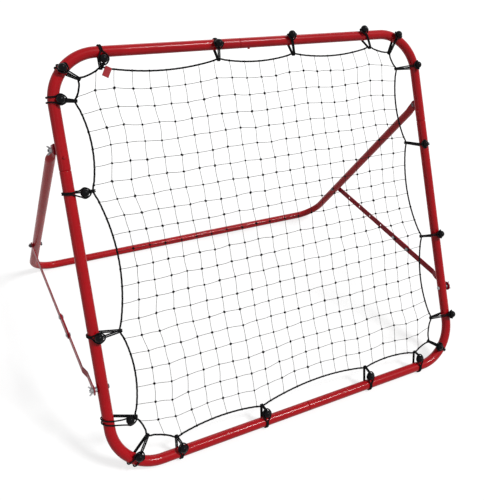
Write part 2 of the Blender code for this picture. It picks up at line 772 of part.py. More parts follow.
def side_node(side, index):
    """The border's place at one of the net's edge knots, and the straight line's below it."""
    chain, run = side_chain(side)
    part = index / NET_GAPS
    along = chain[0][run] + part * (chain[-1][run] - chain[0][run])
    straight = chain[0][1 - run] + part * (chain[-1][1 - run] - chain[0][1 - run])
    return side_place(side, along), straight


def edge_pull(side, index):
    """How far the border stands off the straight line between its corners."""
    run = 0 if side in ("bottom", "top") else 1
    place, straight = side_node(side, index)
    return place[1 - run] - straight


def fade(distance):
    return max(0.0, 1.0 - distance / EDGE_FADE) ** 2


def all_anchors():
    places = [place for place, _ in CORNERS.values()]
    for loops in SIDE_LOOPS.values():
        places += [anchor for anchor, _ in loops]
    return np.array(places)


def net_node(i, j, anchors):
    """One knot of the net, as x and s."""
    corner = {name: np.array(place) for name, (place, _) in CORNERS.items()}
    u = i / NET_GAPS
    v = j / NET_GAPS
    low = corner["bottom_left"] * (1.0 - u) + corner["bottom_right"] * u
    high = corner["top_left"] * (1.0 - u) + corner["top_right"] * u
    place = low * (1.0 - v) + high * v
    width = corner["bottom_right"][0] - corner["bottom_left"][0]
    height = corner["top_left"][1] - corner["bottom_left"][1]
    place[1] += edge_pull("bottom", i) * fade(v * height)
    place[1] += edge_pull("top", i) * fade((1.0 - v) * height)
    place[0] += edge_pull("left", j) * fade(u * width)
    place[0] += edge_pull("right", j) * fade((1.0 - u) * width)
    nearest = np.min(np.linalg.norm(anchors - place, axis=1))
    inset = NET_INSET + ANCHOR_ROOM * max(0.0, 1.0 - nearest / ANCHOR_REACH)
    place[0] += inset * ((i == 0) - (i == NET_GAPS))
    place[1] += inset * ((j == 0) - (j == NET_GAPS))
    return place


def build_net():
    """A flat square-mesh net: a small square at each knot and a bar between neighbours."""
    name = "net"
    anchors = all_anchors()
    count = NET_GAPS + 1
    squares = [(-STRAND, -STRAND), (STRAND, -STRAND), (STRAND, STRAND), (-STRAND, STRAND)]
    points = []
    for j in range(count):
        for i in range(count):
            x, s = net_node(i, j, anchors)
            for n in (-STRAND, STRAND):
                points += [on_frame(x + dx, s + ds, n) for dx, ds in squares]

    def at(i, j, corner, level):
        return ((j * count + i) * 2 + level) * 4 + corner

    def both_levels(faces, ring):
        faces.append([at(i, j, corner, 0) for i, j, corner in ring])
        faces.append([at(i, j, corner, 1) for i, j, corner in reversed(ring)])

    def wall(faces, first, last):
        faces.append([at(*first, 0), at(*last, 0), at(*last, 1), at(*first, 1)])

    faces = []
    for j in range(count):
        for i in range(count):
            both_levels(faces, [(i, j, k) for k in range(4)])
            if i < NET_GAPS:
                both_levels(faces, [(i, j, 1), (i + 1, j, 0), (i + 1, j, 3), (i, j, 2)])
                wall(faces, (i, j, 1), (i + 1, j, 0))
                wall(faces, (i, j, 2), (i + 1, j, 3))
            else:
                wall(faces, (i, j, 1), (i, j, 2))
            if j < NET_GAPS:
                both_levels(faces, [(i, j, 3), (i, j, 2), (i, j + 1, 1), (i, j + 1, 0)])
                wall(faces, (i, j, 3), (i, j + 1, 0))
                wall(faces, (i, j, 2), (i, j + 1, 1))
            else:
                wall(faces, (i, j, 2), (i, j, 3))
            if i == 0:
                wall(faces, (i, j, 3), (i, j, 0))
            if j == 0:
                wall(faces, (i, j, 0), (i, j, 1))
    make_object(name, points, faces, twine(name))


def loop_line(side, number):
    """A loop's place on the tube axis and its anchor on the border, as x and s."""
    if side in CORNERS:
        anchor, degrees = CORNERS[side]
        return np.array(bend_point(side, degrees)), np.array(anchor)
    anchor, along = SIDE_LOOPS[side][number]
    up_bend = along - (FRAME_HEIGHT - BEND_RADIUS)
    if side in ("left", "right") and up_bend > 0.0:
        degrees = math.degrees(math.asin(up_bend / BEND_RADIUS))
        return np.array(bend_point("top_" + side, degrees)), np.array(anchor)
    edges = {"left": (-FRAME_HALF_WIDTH, along), "right": (FRAME_HALF_WIDTH, along),
             "top": (along, FRAME_HEIGHT), "bottom": (along, 0.0)}
    return np.array(edges[side]), np.array(anchor)


def flat_pair(side, number):
    """Two border points either side of an anchor, square to the loop that pulls it."""
    wrap, anchor = loop_line(side, number)
    towards = (anchor - wrap) / np.linalg.norm(anchor - wrap)
    beside = np.array((-towards[1], towards[0])) * PULLED_FLAT
    return [anchor - beside, anchor + beside]


def build_border():
    """The cord round the net's edge, pulled out at each loop and sagging in between."""
    name = "border_cord"
    path = []
    order = (("bottom_left", "bottom", 1), ("bottom_right", "right", 1),
             ("top_right", "top", -1), ("top_left", "left", -1))
    for corner, side, direction in order:
        chain, run = side_chain(side)
        placed = []
        for index in range(1, NET_GAPS):
            place, _ = side_node(side, index)
            clear = min(abs(place[run] - anchor[run]) for anchor in chain)
            if clear > CLEAR_OF_ANCHOR:
                placed.append(np.array(place))
        for number in range(len(SIDE_LOOPS[side])):
            placed += flat_pair(side, number)
        placed.sort(key=lambda place: direction * place[run])
        pair = sorted(flat_pair(corner, 0), key=lambda place: direction * place[run])
        path += pair + placed
    section = arc((0.0, 0.0), BORDER_RADIUS, 30.0, 330.0, 5)
    closed_cord(name, [on_frame(x, s) for x, s in path], section, BEHIND, twine(name))


# Elastic loops

def build_loop(name, side, number, ball):
    """A closed band, the doubled cord, round the frame tube and the border, with its ball."""
    wrap, anchor = loop_line(side, number)
    length = float(np.linalg.norm(anchor - wrap))
    towards = (anchor - wrap) / length
    if side in CORNERS:
        x, s = bend_centre(side)
        outward = np.array((wrap[0] - x, wrap[1] - s)) / BEND_RADIUS
    elif side in ("left", "right"):
        outward = np.array((1.0, 0.0))
    else:
        outward = np.array((0.0, 1.0))
    slant = min(1.0, abs(float(np.dot(towards, outward))))
    slack = LOOP_HALF_WIDTH * math.tan(math.acos(slant))
    centre = on_frame(*wrap)
    inward = ACROSS * towards[0] + UP_FRAME * towards[1]
    beside = ACROSS * -towards[1] + UP_FRAME * towards[0]
    radius = (TUBE_RADIUS + GAP + LOOP_HALF_THICK + slack) / math.cos(math.radians(15.0))
    path = [(length + u, n) for u, n in LOOP_END]
    for degrees in range(75, 286, 30):
        turn = math.radians(degrees)
        path.append((radius * math.cos(turn) / slant, radius * math.sin(turn)))
    path.append((path[2][0], -path[2][1]))
    points = [centre + inward * u + BEHIND * n for u, n in path]
    loop = closed_cord(name, points, LOOP_SECTION, inward.cross(BEHIND), black_elastic(name))
    u, n, aside = ball
    bpy.ops.mesh.primitive_ico_sphere_add(subdivisions=2, radius=BALL_RADIUS)
    sphere = bpy.context.object
    turn_x, turn_y = BALL_TURN
    sphere.data.transform(Matrix.Rotation(turn_x, 4, "X") @ Matrix.Rotation(turn_y, 4, "Y"))
    sphere.location = centre + inward * (u / slant) + BEHIND * n + beside * aside
    combine(loop, sphere, "UNION")


def build_loops():
    for side, balls in BALLS.items():
        for number, ball in enumerate(balls):
            build_loop("bungee_%s_%d" % (side, number + 1), side, number, ball)
    for corner, ball in CORNER_BALLS.items():
        build_loop("bungee_" + corner, corner, 0, ball)


def build_tag():
    """A plain cloth tag hanging from the border in front of the net."""
    outline = [(-TAG_HALF_WIDTH, -TAG_LENGTH), (TAG_HALF_WIDTH, -TAG_LENGTH),
               (TAG_HALF_WIDTH, 0.0), (-TAG_HALF_WIDTH, 0.0)]
    prism("cloth_tag", outline, on_frame(*TAG_CORNER), ACROSS, UP_FRAME, BEHIND,
          *TAG_FACES, red_cloth("cloth_tag"))


def clear_scene():
    for obj in list(bpy.data.objects):
        bpy.data.objects.remove(obj, do_unlink=True)


def main():
    clear_scene()
    build_frame()
    for side in BUTTONS:
        build_button(side)
    leg_axis = joint_axis("leg_axis", PIVOT)
    build_leg(leg_axis)
    for side, word in ((-1, "left"), (1, "right")):
        build_pivot(side, word, leg_axis)
        build_stay(side, word, leg_axis)
        build_hook_bolt(side, word)
    build_net()
    build_border()
    build_loops()
    build_tag()


main()
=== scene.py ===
"""A rebound net: fine tubes, a twine net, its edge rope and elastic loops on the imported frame."""

import math
import random

import bmesh
import bpy
import numpy as np
from mathutils import Matrix, Vector


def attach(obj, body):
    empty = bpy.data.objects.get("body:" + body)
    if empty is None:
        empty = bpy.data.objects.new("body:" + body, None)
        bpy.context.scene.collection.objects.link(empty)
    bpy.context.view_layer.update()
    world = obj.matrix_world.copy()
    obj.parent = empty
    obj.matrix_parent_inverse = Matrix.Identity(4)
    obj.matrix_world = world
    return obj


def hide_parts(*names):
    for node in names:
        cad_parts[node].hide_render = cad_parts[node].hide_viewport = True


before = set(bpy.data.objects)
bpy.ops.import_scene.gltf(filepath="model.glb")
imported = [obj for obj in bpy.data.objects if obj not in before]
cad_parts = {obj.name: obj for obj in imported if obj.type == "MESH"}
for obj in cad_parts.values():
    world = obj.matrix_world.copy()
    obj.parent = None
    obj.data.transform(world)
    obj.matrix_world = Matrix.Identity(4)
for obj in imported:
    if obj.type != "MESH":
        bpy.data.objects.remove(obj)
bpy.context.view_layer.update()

# The leaning frame, as the solids have it
FRAME_HALF_WIDTH = 0.4875
FRAME_HEIGHT = 0.925
LEAN = math.radians(30.0)
BEND_RADIUS = 0.105
TUBE_RADIUS = 0.0125
TUBE_WALL = 0.0012
GAP = 0.0003
FRAME_Y = -0.40085
FRAME_Z = 0.0163
SPIGOT_RADIUS = 0.0110
SPIGOT_LENGTH = 0.055
NECK_LENGTH = 0.002
SIDE_SEAM = 0.680
TOP_SEAM = -0.038
BOTTOM_SEAM = 0.0055

# Each snap button's place along its tube, and the degrees it is turned from the net to the back
BUTTONS = {
    "left": (0.707, -90.0),
    "right": (0.707, -30.0),
    "top": (-0.014, 0.0),
    "bottom": (0.0418, -50.0),
}
BUTTON_REACH = 0.030

# The hook bolts' height up the frame, and from where to where across it their holes are cut
HOOK_S = 0.200
HOOK_INSIDE = 0.465
HOOK_OUTSIDE = 0.535
HOLE_RADIUS = 0.0034
HOLE_SIDES = 24
HOLE_MARGIN = 0.006

# The rear leg
LEG_TUBE_RADIUS = 0.011
LEG_HALF_WIDTH = 0.5025
LEG_LENGTH = 0.750
LEG_BEND_RADIUS = 0.070
LEG_END = 0.011
LEG_END_HALF_WIDE = 0.0085
FLAT_START = 0.006
FLAT_HALF_THICK = 0.0022
FLAT_HALF_WIDE = 0.0125
FLAT_LENGTH = 0.014
FLAT_RUN_OUT = 0.040
PRESSED_WALL = 0.0009
PRESSED_SQUARENESS = 1.6
PIVOT_X = 0.4975
PIVOT_S = 0.7275
PIVOT_N = 0.030
FOOT_HEIGHT = 0.0106

# Net, edge rope and elastic loops
NET_GAPS = 21
TWINE_RADIUS = 0.00058
ROPE_RADIUS = 0.0022
ELASTIC_RADIUS = 0.0017
BALL_RADIUS = 0.0095
EDGE_FADE = 0.35
SIDE_SAG = 0.085
LEVEL_SAG = 0.057

# The rope's corner anchors, as x and s, and how far round its bend each corner loop goes
CORNERS = {
    "bottom_left": ((-0.409, 0.063), 52.0),
    "bottom_right": ((0.416, 0.059), 45.0),
    "top_right": ((0.407, 0.875), 60.0),
    "top_left": ((-0.428, 0.871), 42.0),
}
CORNER_SIGNS = {corner: (1 if "right" in corner else -1, 1 if "top" in corner else -1)
                for corner in CORNERS}

# The rope's anchors along each side, as x and s, with each loop's place along its tube
SIDE_LOOPS = {
    "bottom": (((-0.343, 0.037), -0.343), ((-0.120, 0.040), -0.120),
               ((0.193, 0.047), 0.193), ((0.363, 0.041), 0.363)),
    "right": (((0.435, 0.123), 0.122), ((0.437, 0.359), 0.350),
              ((0.425, 0.626), 0.612), ((0.424, 0.830), 0.829)),
    "top": (((-0.377, 0.891), -0.375), ((-0.097, 0.891), -0.100),
            ((0.108, 0.891), 0.103), ((0.344, 0.894), 0.328)),
    "left": (((-0.428, 0.114), 0.130), ((-0.430, 0.313), 0.321),
             ((-0.437, 0.628), 0.632), ((-0.443, 0.824), 0.830)),
}

# Each ball's centre, from its loop's place on the tube: towards the net, behind, and along it
BALLS = {
    "bottom": ((0.0119, -0.0191, -0.006), (0.0206, -0.0110, -0.005),
               (0.0224, -0.0100, -0.007), (0.0225, -0.0100, -0.007)),
    "right": ((-0.0080, -0.0210, 0.0), (-0.0030, -0.0223, -0.007),
              (0.0108, -0.0198, 0.0), (0.0031, -0.0223, -0.004)),
    "top": ((0.0172, -0.0146, 0.005), (0.0002, -0.0225, 0.0),
            (-0.0111, -0.0196, 0.0), (-0.0145, -0.0172, 0.0025)),
    "left": ((0.0458, -0.0070, -0.006), (0.0064, -0.0216, -0.007),
             (0.0306, -0.0090, -0.003), (0.0113, -0.0194, 0.0)),
}
CORNER_BALLS = {
    "bottom_left": (0.0099, -0.0202, -0.0023),
    "bottom_right": (0.0176, -0.0160, 0.0020),
    "top_right": (-0.0047, -0.0220, -0.0087),
    "top_left": (-0.0031, -0.0223, 0.0026),
}

FULL_TURN = 2.0 * math.pi
TINY = 1e-9
ACROSS = Vector((1.0, 0.0, 0.0))
UP_FRAME = Vector((0.0, math.sin(LEAN), math.cos(LEAN)))
BEHIND = Vector((0.0, math.cos(LEAN), -math.sin(LEAN)))


def on_frame(x, s, n=0.0):
    """The world place of a point given across, up and behind the leaning frame."""
    return Vector((x, FRAME_Y, FRAME_Z)) + UP_FRAME * s + BEHIND * n


PIVOT = on_frame(0.0, PIVOT_S, PIVOT_N)
LEG_ANGLE = math.acos((PIVOT.z - FOOT_HEIGHT) / LEG_LENGTH)
LEG_DOWN = Vector((0.0, math.sin(LEG_ANGLE), -math.cos(LEG_ANGLE)))
LEG_FACE = Vector((0.0, math.cos(LEG_ANGLE), math.sin(LEG_ANGLE)))


# Camera, lamps and floor

CAMERA_PLACE = (-0.7664, -1.37445, 1.3564)
CAMERA_AZIMUTH = math.radians(33.812)
CAMERA_DIP = math.radians(30.895)
CAMERA_ROLL = math.radians(8.107)
FOCAL_PIXELS = 683.5
PHOTO_LONG_SIDE = 500.0
SENSOR = 36.0
SHIFT_PIXELS = (55.6, -48.4)
CLIP_START = 0.05

SURROUND_LIGHT = 0.26
FLOOR_HALF_WIDTH = 15.0
FLOOR_GREY = 0.36
FLOOR_ROUGHNESS = 0.9
FLOOR_GLOW = 0.72
WHITE = (1.0, 1.0, 1.0, 1.0)


def add_object(name, data):
    obj = bpy.data.objects.new(name, data)
    bpy.context.scene.collection.objects.link(obj)
    return obj


def set_camera():
    camera = bpy.data.cameras.new("camera")
    camera.sensor_width = SENSOR
    camera.lens = FOCAL_PIXELS / PHOTO_LONG_SIDE * SENSOR
    camera.shift_x = -SHIFT_PIXELS[0] / PHOTO_LONG_SIDE
    camera.shift_y = SHIFT_PIXELS[1] / PHOTO_LONG_SIDE
    camera.clip_start = CLIP_START
    holder = add_object("camera", camera)
    bearing, dip, roll = CAMERA_AZIMUTH, CAMERA_DIP, CAMERA_ROLL
    forward = Vector((math.sin(bearing) * math.cos(dip), math.cos(bearing) * math.cos(dip),
                      -math.sin(dip)))
    level = Vector((math.cos(bearing), -math.sin(bearing), 0.0))
    upright = level.cross(forward)
    right = level * math.cos(roll) + upright * math.sin(roll)
    up = upright * math.cos(roll) - level * math.sin(roll)
    turn = Matrix((right, up, -forward)).transposed().to_4x4()
    holder.matrix_world = Matrix.Translation(CAMERA_PLACE) @ turn
    bpy.context.scene.camera = holder


def aim(name, light, towards):
    """A new lamp that shines one way."""
    holder = add_object(name, light)
    holder.rotation_euler = Vector(towards).to_track_quat("-Z", "Y").to_euler()
    return holder


def lamp(name, place, target, size, power):
    """A near lamp with a flat face turned to its target."""
    light = bpy.data.lights.new(name, "AREA")
    light.shape = "RECTANGLE"
    light.size, light.size_y = size
    light.energy = power
    aim(name, light, Vector(target) - Vector(place)).location = place


def sun(name, towards, width, strength):
    """A far, wide lamp that lights the whole floor alike."""
    light = bpy.data.lights.new(name, "SUN")
    light.angle = width
    light.energy = strength
    aim(name, light, towards)


def seen_directly(tree):
    """1 where the camera, a reflection or a view through glass looks straight at a surface."""
    path = tree.nodes.new("ShaderNodeLightPath")
    total = path.outputs["Is Camera Ray"]
    for label in ("Is Glossy Ray", "Is Transmission Ray"):
        add = tree.nodes.new("ShaderNodeMath")
        add.operation = "ADD"
        add.use_clamp = True
        tree.links.new(total, add.inputs[0])
        tree.links.new(path.outputs[label], add.inputs[1])
        total = add.outputs[0]
    return total


def set_studio():
    world = bpy.data.worlds.new("studio")
    bpy.context.scene.world = world
    world.use_nodes = True
    tree = world.node_tree
    ground = tree.nodes["Background"]
    ground.inputs["Color"].default_value = WHITE
    strength = tree.nodes.new("ShaderNodeMapRange")
    strength.inputs["To Min"].default_value = SURROUND_LIGHT
    strength.inputs["To Max"].default_value = 1.0
    tree.links.new(seen_directly(tree), strength.inputs["Value"])
    tree.links.new(strength.outputs["Result"], ground.inputs["Strength"])
    sun("key_lamp", towards=(-0.50, 0.60, -1.0), width=math.radians(14.0), strength=2.2)
    lamp("fill_lamp", place=(-2.6, -1.6, 1.6), target=(0.0, 0.0, 0.4), size=(1.2, 1.4), power=3.0)
    lamp("back_lamp", place=(1.2, 2.4, 2.4), target=(0.0, 0.1, 0.4), size=(1.6, 1.0), power=14.0)
    set_floor()
    bpy.context.scene.view_settings.view_transform = "Standard"


def set_floor():
    """A wide pale floor that looks white and still takes the shadows."""
    mesh = bpy.data.meshes.new("studio_floor")
    corners = [(x * FLOOR_HALF_WIDTH, y * FLOOR_HALF_WIDTH, 0.0)
               for x, y in ((-1, -1), (1, -1), (1, 1), (-1, 1))]
    mesh.from_pydata(corners, [], [(0, 1, 2, 3)])
    floor = add_object("studio_floor", mesh)
    finish = Finish("studio_floor", roughness=FLOOR_ROUGHNESS)
    finish.set("Base Color", (FLOOR_GREY, FLOOR_GREY, FLOOR_GREY, 1.0))
    finish.set("Emission Color", WHITE)
    glow = sums(finish.tree, "MULTIPLY", seen_directly(finish.tree), FLOOR_GLOW)
    finish.tree.links.new(glow, finish.shader.inputs["Emission Strength"])
    mesh.materials.append(finish.material)


# Effects that several finishes share

def new_effect(name, numbers, results, takes_lay=False):
    """An empty shader group with number inputs and number outputs."""
    tree = bpy.data.node_groups.new(name, "ShaderNodeTree")
    if takes_lay:
        tree.interface.new_socket("Lay", in_out="INPUT", socket_type="NodeSocketVector")
    for label, value in numbers:
        socket = tree.interface.new_socket(label, in_out="INPUT", socket_type="NodeSocketFloat")
        socket.default_value = value
    for label in results:
        tree.interface.new_socket(label, in_out="OUTPUT", socket_type="NodeSocketFloat")
    return tree, tree.nodes.new("NodeGroupInput"), tree.nodes.new("NodeGroupOutput")


def sums(tree, operation, first, second=None):
    """One math node; each value is a socket or a plain number."""
    node = tree.nodes.new("ShaderNodeMath")
    node.operation = operation
    for index, value in enumerate((first, second)):
        if value is None:
            continue
        if isinstance(value, (int, float)):
            node.inputs[index].default_value = value
        else:
            tree.links.new(value, node.inputs[index])
    return node.outputs[0]


def clouds(tree, scale, detail, roughness=0.5):
    """Noise in the piece's own coordinates, at the scale that a socket gives."""
    place = tree.nodes.new("ShaderNodeTexCoord")
    noise = tree.nodes.new("ShaderNodeTexNoise")
    noise.inputs["Detail"].default_value = detail
    noise.inputs["Roughness"].default_value = roughness
    tree.links.new(place.outputs["Object"], noise.inputs["Vector"])
    tree.links.new(scale, noise.inputs["Scale"])
    return noise.outputs["Fac"]


def between(tree, value, low, high):
    """A value stretched so that low is 0 and high is 1, and held there."""
    node = tree.nodes.new("ShaderNodeMapRange")
    node.inputs["From Min"].default_value = low
    node.inputs["From Max"].default_value = high
    tree.links.new(value, node.inputs["Value"])
    return node.outputs["Result"]


def make_coat_effect():
    """Orange peel, a slow drift of tone and a few scuffs."""
    tree, given, result = new_effect(
        "coat_skin", [("Peel Scale", 700.0), ("Cloud Scale", 14.0), ("Scuff Scale", 90.0)],
        ["Peel", "Cloud", "Scuff"])
    for label, detail in (("Peel", 2.0), ("Cloud", 3.0)):
        tree.links.new(clouds(tree, given.outputs[label + " Scale"], detail), result.inputs[label])
    scuffs = clouds(tree, given.outputs["Scuff Scale"], detail=5.0, roughness=0.65)
    tree.links.new(between(tree, scuffs, low=0.64, high=0.74), result.inputs["Scuff"])
    return tree


def make_lay_effect():
    """Strands laid round a cord, and if wanted crossed by others going the other way."""
    tree, given, result = new_effect(
        "strand_lay", [("Turns", 120.0), ("Strands", 3.0), ("Crossed", 0.0)],
        ["Height", "Groove"], takes_lay=True)
    parts = tree.nodes.new("ShaderNodeSeparateXYZ")
    tree.links.new(given.outputs["Lay"], parts.inputs[0])
    angle = sums(tree, "ARCTAN2", parts.outputs["Z"], parts.outputs["Y"])
    turned_by = sums(tree, "MULTIPLY", angle, given.outputs["Strands"])
    run = sums(tree, "MULTIPLY", parts.outputs["X"], given.outputs["Turns"])
    run = sums(tree, "MULTIPLY", run, FULL_TURN)
    one_way = sums(tree, "ABSOLUTE", sums(tree, "SINE", sums(tree, "ADD", turned_by, run)))
    other = sums(tree, "ABSOLUTE", sums(tree, "SINE", sums(tree, "SUBTRACT", turned_by, run)))
    other = sums(tree, "MULTIPLY", other, given.outputs["Crossed"])
    height = sums(tree, "MAXIMUM", one_way, other)
    tree.links.new(height, result.inputs["Height"])
    tree.links.new(between(tree, height, low=0.55, high=0.15), result.inputs["Groove"])
    return tree


COAT_EFFECT = make_coat_effect()
LAY_EFFECT = make_lay_effect()


# Finishes

class Finish:
    """A material being mixed: its tree, its shader and short ways to feed them."""

    def __init__(self, name, roughness=0.5, metallic=0.0):
        self.material = bpy.data.materials.new(name)
        self.material.use_nodes = True
        self.tree = self.material.node_tree
        self.shader = self.tree.nodes["Principled BSDF"]
        self.set("Roughness", roughness)
        self.set("Metallic", metallic)

    def set(self, label, value):
        self.shader.inputs[label].default_value = value

    def effect(self, group, lay=False, **values):
        node = self.tree.nodes.new("ShaderNodeGroup")
        node.node_tree = group
        if lay:
            source = self.tree.nodes.new("ShaderNodeAttribute")
            source.attribute_name = "lay"
            self.tree.links.new(source.outputs["Vector"], node.inputs["Lay"])
        for label, value in values.items():
            node.inputs[label.replace("_", " ")].default_value = value
        return node.outputs

    def mix(self, amount, first, second):
        """A colour between two, where each is a socket or a triple."""
        node = self.tree.nodes.new("ShaderNodeMix")
        node.data_type = "RGBA"
        for label, value in (("A", first), ("B", second)):
            socket = [s for s in node.inputs if s.name == label and s.type == "RGBA"][0]
            if isinstance(value, tuple):
                socket.default_value = (*value, 1.0)
            else:
                self.tree.links.new(value, socket)
        factor = [s for s in node.inputs if s.name == "Factor" and s.type == "VALUE"][0]
        self.tree.links.new(amount, factor)
        return [s for s in node.outputs if s.type == "RGBA"][0]

    def colour(self, source):
        self.tree.links.new(source, self.shader.inputs["Base Color"])

    def feed(self, label, value, low, high):
        """Drive a shader value between two numbers."""
        node = self.tree.nodes.new("ShaderNodeMapRange")
        node.inputs["To Min"].default_value = low
        node.inputs["To Max"].default_value = high
        self.tree.links.new(value, node.inputs["Value"])
        self.tree.links.new(node.outputs["Result"], self.shader.inputs[label])

    def bump(self, height, distance, strength=1.0):
        node = self.tree.nodes.new("ShaderNodeBump")
        node.inputs["Strength"].default_value = strength
        node.inputs["Distance"].default_value = distance
        self.tree.links.new(height, node.inputs["Height"])
        self.tree.links.new(node.outputs["Normal"], self.shader.inputs["Normal"])


def powder_coat(name, colour, shaded, scuffed, roughness, gloss):
    """Baked paint: an even colour with orange peel, faint drift and dull scuffs."""
    coat = Finish(name)
    skin = coat.effect(COAT_EFFECT)
    tone = coat.mix(between(coat.tree, skin["Cloud"], low=0.35, high=0.65), colour, shaded)
    scuff_share, cloud_share, dulling = 0.55, 0.3, 0.3
    coat.colour(coat.mix(sums(coat.tree, "MULTIPLY", skin["Scuff"], scuff_share), tone, scuffed))
    drift = sums(coat.tree, "MULTIPLY", skin["Cloud"], cloud_share)
    wear = sums(coat.tree, "ADD", skin["Scuff"], drift)
    coat.feed("Roughness", wear, roughness, roughness + dulling)
    coat.bump(skin["Peel"], distance=0.0004, strength=0.25)
    coat.set("Specular IOR Level", 0.06)
    coat.set("Coat Weight", gloss)
    coat.set("Coat Roughness", 0.07)
    return coat.material


def zinc_plate(name, colour, stained):
    """Bright zinc with a dull bloom and fine scratches."""
    plate = Finish(name, metallic=1.0)
    skin = plate.effect(COAT_EFFECT, Peel_Scale=1400.0, Cloud_Scale=160.0, Scuff_Scale=300.0)
    tone = plate.mix(between(plate.tree, skin["Cloud"], low=0.35, high=0.70), colour, stained)
    scratch_share = 0.6
    scratches = sums(plate.tree, "MULTIPLY", skin["Scuff"], scratch_share)
    plate.colour(plate.mix(scratches, tone, stained))
    plate.feed("Roughness", skin["Cloud"], low=0.22, high=0.52)
    plate.bump(skin["Peel"], distance=0.0002, strength=0.4)
    return plate.material


def cord_cover(name, colour, groove_shade, turns, strands, crossed, height):
    """A laid or braided cord, darker in the grooves between its strands: painted shade."""
    roughness, groove_roughness = 0.75, 0.90
    cover = Finish(name, roughness=roughness)
    lay = cover.effect(LAY_EFFECT, lay=True, Turns=turns, Strands=strands, Crossed=crossed)
    # Painted shade: the colour darkens towards the groove colour between the strands.
    cover.colour(cover.mix(lay["Groove"], colour, groove_shade))
    cover.feed("Roughness", lay["Groove"], roughness, groove_roughness)
    cover.bump(lay["Height"], height)
    cover.set("Specular IOR Level", 0.08)
    return cover.material


def moulded_ball(name):
    """Black moulded plastic, slightly mottled and rubbed."""
    ball = Finish(name)
    skin = ball.effect(COAT_EFFECT, Peel_Scale=900.0, Cloud_Scale=60.0, Scuff_Scale=260.0)
    black, rubbed = (0.003, 0.003, 0.004), (0.013, 0.013, 0.014)
    ball.colour(ball.mix(skin["Scuff"], black, rubbed))
    ball.set("Specular IOR Level", 0.08)
    ball.feed("Roughness", skin["Cloud"], low=0.18, high=0.36)
    ball.bump(skin["Peel"], distance=0.0003, strength=0.3)
    return ball.material


def tag_cloth(name):
    """A plain red woven label."""
    cloth = Finish(name, roughness=0.85)
    place = cloth.tree.nodes.new("ShaderNodeTexCoord")
    heights = []
    for direction in ("X", "Z"):
        wave = cloth.tree.nodes.new("ShaderNodeTexWave")
        wave.bands_direction = direction
        wave.inputs["Scale"].default_value = 420.0
        wave.inputs["Distortion"].default_value = 0.6
        cloth.tree.links.new(place.outputs["Object"], wave.inputs["Vector"])
        heights.append(wave.outputs["Fac"])
    weave = sums(cloth.tree, "MULTIPLY", heights[0], heights[1])
    # The low parts of the weave are darker: painted shade in its hollows.
    low_thread_in_shade, high_thread = (0.36, 0.012, 0.020), (0.52, 0.030, 0.040)
    cloth.colour(cloth.mix(weave, low_thread_in_shade, high_thread))
    cloth.bump(weave, distance=0.0003, strength=0.7)
    cloth.set("Sheen Weight", 0.4)
    return cloth.material


RED_COAT = powder_coat(
    "red_powder_coat", colour=(0.46, 0.003, 0.008), shaded=(0.40, 0.002, 0.007),
    scuffed=(0.26, 0.005, 0.009), roughness=0.27, gloss=0.20)
# A darker copy of the red paint for the pivot brackets and stays: painted shade on parts that lie
# in shadow, not a second paint.
SHADE_DARKENED_COAT = powder_coat(
    "red_powder_coat_darkened_for_shade", colour=(0.34, 0.006, 0.018), shaded=(0.28, 0.005, 0.015),
    scuffed=(0.18, 0.005, 0.010), roughness=0.32, gloss=0.05)
ZINC = zinc_plate("zinc_plate", colour=(0.34, 0.34, 0.35), stained=(0.17, 0.17, 0.18))
# Zinc darkened near to black for the pivot bolts and the stay pins and nuts: painted shade.
SHADE_DARKENED_ZINC = zinc_plate("zinc_plate_darkened_for_shade", colour=(0.10, 0.09, 0.10), stained=(0.04, 0.04, 0.04))
# The groove colours darken the cords between their strands: painted shade.
BLACK, GROOVE_SHADE_BLACK = (0.006, 0.006, 0.007), (0.002, 0.002, 0.002)
ELASTIC = cord_cover("elastic_sheath", BLACK, GROOVE_SHADE_BLACK,
                     turns=260.0, strands=4.0, crossed=1.0, height=0.0004)
ROPE = cord_cover("edge_rope", BLACK, GROOVE_SHADE_BLACK,
                  turns=70.0, strands=6.0, crossed=0.0, height=0.0003)
TWINE = cord_cover(
    "net_twine", colour=(0.020, 0.020, 0.021), groove_shade=(0.005, 0.005, 0.006),
    turns=340.0, strands=1.5, crossed=0.0, height=0.0002)
BALL = moulded_ball("moulded_ball")
TAG_CLOTH = tag_cloth("tag_cloth")


# Shapes: each is a tuple of points, faces and the lay of its strands

SHARP_ANGLE = math.radians(40.0)


def unit(vector):
    return vector / np.linalg.norm(vector)


def smooth_path(controls, spacing, closed=False):
    """Points on a smooth curve through control points, about a spacing apart."""
    controls = np.array(controls, float)
    if closed:
        around = np.vstack([controls[-1:], controls, controls[:2]])
    else:
        first = 2.0 * controls[0] - controls[1]
        last = 2.0 * controls[-1] - controls[-2]
        around = np.vstack([first, controls, last])
    dense = []
    for a, b, c, d in zip(around, around[1:], around[2:], around[3:]):
        steps = max(2, int(math.ceil(np.linalg.norm(c - b) / spacing)))
        ta, tb, tc = (max(np.linalg.norm(step), TINY) ** 0.5 for step in (b - a, c - b, d - c))
        leave = tb * ((b - a) / ta - (c - a) / (ta + tb) + (c - b) / tb)
        arrive = tb * ((c - b) / tb - (d - b) / (tb + tc) + (d - c) / tc)
        for k in range(steps):
            t = k / steps
            dense.append((2 * t**3 - 3 * t**2 + 1) * b + (t**3 - 2 * t**2 + t) * leave
                         + (-2 * t**3 + 3 * t**2) * c + (t**3 - t**2) * arrive)
    if not closed:
        dense.append(around[-2])
    return np.array(dense)


